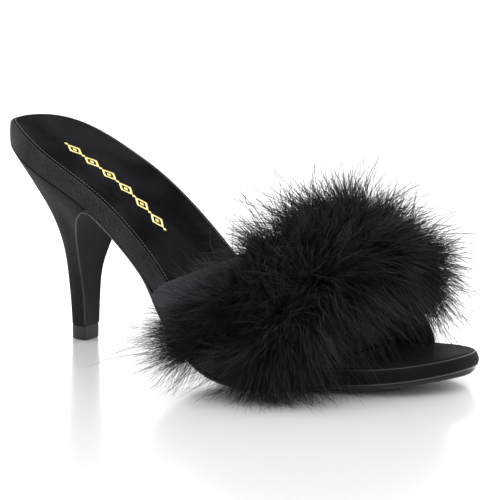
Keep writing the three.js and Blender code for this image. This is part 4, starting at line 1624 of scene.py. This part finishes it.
# Each coat grows "from" so far round a row's cord. "wayward" is how fast its wisps stray, along X and Y, and
# "only" keeps a coat to the outer end of the rows
coats = [
    {
        "name": "Soft", "wisps": softWisps, "finish": downDark, "count": 5900, "from": 6.5,
        "shortest": 9.0, "longest": 24.0, "locks": 0.42, "tousle": 0.34, "sag": 4.0,
        "upward": 0.0, "wayward": (0.12, 0.12), "only": 1.0,
    },
    {
        "name": "Long", "wisps": longWisps, "finish": downStrandPaintedHighlight, "count": 3500, "from": 5.0,
        "shortest": 18.0, "longest": 40.0, "locks": 0.5, "tousle": 0.24, "sag": 3.6,
        "upward": 0.05, "wayward": (0.1, 0.1), "only": 1.0,
    },
    {
        "name": "Stray", "wisps": strayWisps, "finish": downStrandPaintedHighlight, "count": 900, "from": 5.0,
        "shortest": 28.0, "longest": 61.0, "locks": 0.5, "tousle": 0.5, "sag": 4.5,
        "upward": 0.52, "wayward": (0.19, 0.62), "only": 1.0,
    },
    {
        "name": "Fringe", "wisps": strayWisps, "finish": downStrandPaintedHighlight, "count": 760, "from": 6.0,
        "shortest": 26.0, "longest": 56.0, "locks": 0.35, "tousle": 0.42, "sag": 5.5,
        "upward": 0.0, "wayward": (0.42, 0.42), "only": 0.3,
    },
]


growthLook = {
    "sweep": 0.3,
    "sweepOver": 0.26,
    "fall": 0.45,
    "hangFrom": 0.25,
    "fringeWay": (0.0, -1.05, -0.85),
    "fringeShare": 0.45,
    "thinOver": 0.16,
    "farFrom": 0.72,
    "farThin": 0.5,
    "uneven": 0.22,
    "lessAhead": 0.1,
    "density": 0.45,
    "clumps": 0.45,
    "clumpsOver": 14,
    "beyond": (13.0, 8.0),
    "beyondShare": 0.03,
    "least": 0.1,
}


driftLook = {"waves": 7, "slowest": 0.5, "round": 3, "divide": 2.6}


def drift(turns, angle, seed, fine=9):
    # Smooth chance over a cord's surface, between about -1 and 1
    look = driftLook
    dice = random.Random(seed)
    total = np.zeros((len(turns), len(angle)))
    for _ in range(look["waves"]):
        along = dice.uniform(look["slowest"], 1.0) * fine
        around = dice.randint(-look["round"], look["round"])
        total += np.sin(2 * math.pi * (along * turns[:, None] + dice.random()) + around * angle[None, :])
    return total / look["divide"]


def roomFor(surface, flow, coat):
    # The share of its length that a wisp keeps, so that it ends in the air close round the shoe
    look = growthLook
    spot = toFrame(surface)
    low, high = (np.array(corner) for corner in boxOfFrame)
    beyond = np.array(look["beyond"]) * mm + look["beyondShare"] * (high - low)[:2]
    share = np.ones(surface.shape[:2])
    for axis, speed in enumerate(coat["wayward"]):
        ahead = (high[axis] + beyond[axis] - spot[..., axis]) / (np.clip(flow[..., axis], 0, 1) + speed)
        behind = (spot[..., axis] - low[axis] + beyond[axis]) / (np.clip(-flow[..., axis], 0, 1) + speed)
        share = np.minimum(share, np.minimum(ahead, behind) / (coat["longest"] * mm))
    return np.clip(share, look["least"], 1)


def growth(row, coat, seed):
    # The surface that wisps grow from, with the way and the reach of growth painted on it
    look = growthLook
    turns, angle, surface, away, out, ahead = cordSurface(row, coat["from"], seed)
    outward = np.einsum("rci,ri->rc", away, out)
    forward = np.einsum("rci,ri->rc", away, ahead)
    facing = row["facing"]
    over = np.sin(math.pi * turns)[:, None]
    chance = int(100 * seed) + len(coat["name"])
    lean = np.stack([drift(turns, angle, chance + i) for i in range(3)], -1)
    sweep = look["sweep"] + row["sweep"] * np.clip(1 - turns / look["sweepOver"], 0, 1)[:, None, None]
    flow = away + ahead[:, None] * (sweep * facing) + lean * coat["locks"]
    # The ends of a row fall down the sides, and the front row hangs over the toe opening
    flow[..., 2] -= look["fall"] * (1 - over) ** 2
    hang = np.clip(forward * facing + look["hangFrom"], 0, 1) * over**0.5
    flow[..., 2] -= row["hang"] * hang
    if coat["only"] < 1:
        # Loose strands at the outer end splay out over the floor
        flow = look["fringeShare"] * flow + np.array(look["fringeWay"]) + ahead[:, None] * row["splay"]
    flow /= np.linalg.norm(flow, axis=-1, keepdims=True)
    thin = row["thin"] * np.exp(-(((turns[:, None] - row["thinAt"]) / look["thinOver"]) ** 2))
    reach = rowSize(turns)[:, None] * (1 + look["uneven"] * drift(turns, angle, chance + 5)) * (1 - thin)
    upward = coat["upward"] * np.clip(away[..., 2], 0, 1)
    reach *= 1 + upward - look["lessAhead"] * np.clip(forward, 0, 1) * over
    reach = np.minimum(reach, roomFor(surface, flow, coat))
    farEnd = np.clip((turns[:, None] - look["farFrom"]) / (1 - look["farFrom"]), 0, 1)
    clumps = 1 + look["clumps"] * drift(turns, angle, chance + 6, look["clumpsOver"])
    thick = np.clip(look["density"] + outward, 0, 1) * clumps * (1 - look["farThin"] * farEnd)
    thick = np.maximum(thick, 0) * (turns[:, None] <= coat["only"])
    skin = Skin()
    skin.grid(surface, np.zeros((*surface.shape[:2], 2)), closeColumns=True)
    carrier = skin.build("growth" + row["name"] + coat["name"], downDark)
    for name, kind, slot, values in (
        ("flow", "FLOAT_VECTOR", "vector", flow),
        ("reach", "FLOAT", "value", reach),
        ("thick", "FLOAT", "value", thick),
    ):
        carrier.data.attributes.new(name, kind, "POINT").data.foreach_set(slot, values.ravel())
    return carrier


def makeDown(row, coat, rowSeed, seed):
    carrier = growth(row, coat, rowSeed)
    area = 0.0
    thick = carrier.data.attributes["thick"].data
    for face in carrier.data.polygons:
        area += face.area * sum(thick[v].value for v in face.vertices) / len(face.vertices)
    count = coat["count"] * 1.0
    values = {
        "Wisps": coat["wisps"],
        "Wisps per square metre": count / area,
        "Shortest": coat["shortest"] * mm,
        "Longest": coat["longest"] * mm,
        "Tousle": coat["tousle"],
        "Sag per metre": coat["sag"],
        "Floor height": marabouLook["floorAt"] * mm,
        "Seed": seed,
        "Finish": coat["finish"],
    }
    name = "down" + row["name"] + coat["name"]
    piece = settle(runTree(carrier, downTree, values, name), row["node"])
    piece.data.calc_loop_triangles()
    print(name, "has", len(piece.data.loop_triangles), "triangles")


for i, row in enumerate(marabouRows):
    for j, coat in enumerate(coats):
        makeDown(row, coat, 1.0 + i, 11 + 7 * i + 3 * j)
bpy.data.objects.remove(stitchUnit)
print("marabou grown")


# Floor, light and camera

stageLook = {
    "floorHalf": 6.0,
    "world": 1.53,
    "floorColour": (0.97, 0.97, 0.975, 1),
    "floorRoughness": 0.3,
    "polish": 1.0,
    "polishRoughness": 0.16,
    "polishIndex": 1.8,
}


def makeFloor():
    look = stageLook
    half = look["floorHalf"]
    mesh = bpy.data.meshes.new("floor")
    corners = [(-half, -half, 0), (half, -half, 0), (half, half, 0), (-half, half, 0)]
    mesh.from_pydata(corners, [], [(0, 1, 2, 3)])
    floor = addObject("floor", mesh, smooth=False)
    material, tree, shader = startMaterial(
        "paleFloor",
        {
            "Base Color": look["floorColour"],
            "Roughness": look["floorRoughness"],
            "Specular IOR Level": 0.5,
            "Coat Weight": look["polish"],
            "Coat Roughness": look["polishRoughness"],
            "Coat IOR": look["polishIndex"],
        },
    )
    mesh.materials.append(material)


lights = [
    {"name": "overhead", "spot": (-0.3, -0.2, 1.6), "aim": (0, 0, 0.05), "size": (1.4, 1.4), "power": 5},
    {"name": "leftSoft", "spot": (-1.3, -1.1, 0.9), "aim": (-0.03, 0, 0.05), "size": (1, 1.2), "power": 1.5},
    {"name": "backSoft", "spot": (0.5, 1.3, 0.8), "aim": (0, 0, 0.05), "size": (1.2, 0.8), "power": 3},
]


def makeLight(name, spot, aim, size, power):
    data = bpy.data.lights.new(name, "AREA")
    data.shape = "RECTANGLE"
    data.size, data.size_y = size
    data.energy = power
    lamp = bpy.data.objects.new(name, data)
    bpy.context.scene.collection.objects.link(lamp)
    lamp.location = spot
    lamp.rotation_euler = (Vector(aim) - Vector(spot)).to_track_quat("-Z", "Y").to_euler()


def makeWorld():
    world = bpy.data.worlds.new("studio")
    world.use_nodes = True
    background = world.node_tree.nodes["Background"]
    background.inputs["Color"].default_value = (1, 1, 1, 1)
    background.inputs["Strength"].default_value = stageLook["world"]
    bpy.context.scene.world = world


cameraLook = {
    "azimuth": 33.884,
    "elevation": 11.344,
    "distance": 2471.4,
    "focusPixels": 6139.8,
    "framePixels": 500,
    "targetX": 115.452,
    "targetZ": 46.386,
    "roll": 0.32,
    "sensor": 36.0,
    "near": 0.05,
    "far": 30,
}


def makeCamera():
    look = cameraLook
    turn, tilt, roll = (math.radians(look[key]) for key in ("azimuth", "elevation", "roll"))
    back = Vector((math.sin(turn) * math.cos(tilt), -math.cos(turn) * math.cos(tilt), math.sin(tilt)))
    right = Vector((math.cos(turn), math.sin(turn), 0))
    up = back.cross(right)
    across = right * math.cos(roll) + up * math.sin(roll)
    upward = up * math.cos(roll) - right * math.sin(roll)
    target = Vector(toFrame([look["targetX"], 0, look["targetZ"]]))
    data = bpy.data.cameras.new("camera")
    data.sensor_width = look["sensor"]
    data.lens = look["focusPixels"] * look["sensor"] / look["framePixels"]
    data.clip_start, data.clip_end = look["near"], look["far"]
    camera = bpy.data.objects.new("camera", data)
    bpy.context.scene.collection.objects.link(camera)
    spot = target + back * look["distance"] * mm
    camera.matrix_world = Matrix(
        (
            (across.x, upward.x, back.x, spot.x),
            (across.y, upward.y, back.y, spot.y),
            (across.z, upward.z, back.z, spot.z),
            (0, 0, 0, 1),
        )
    )
    bpy.context.scene.camera = camera


makeFloor()
makeWorld()
for light in lights:
    makeLight(**light)
makeCamera()
bpy.context.scene.view_settings.view_transform = "Standard"
print("stage ready")
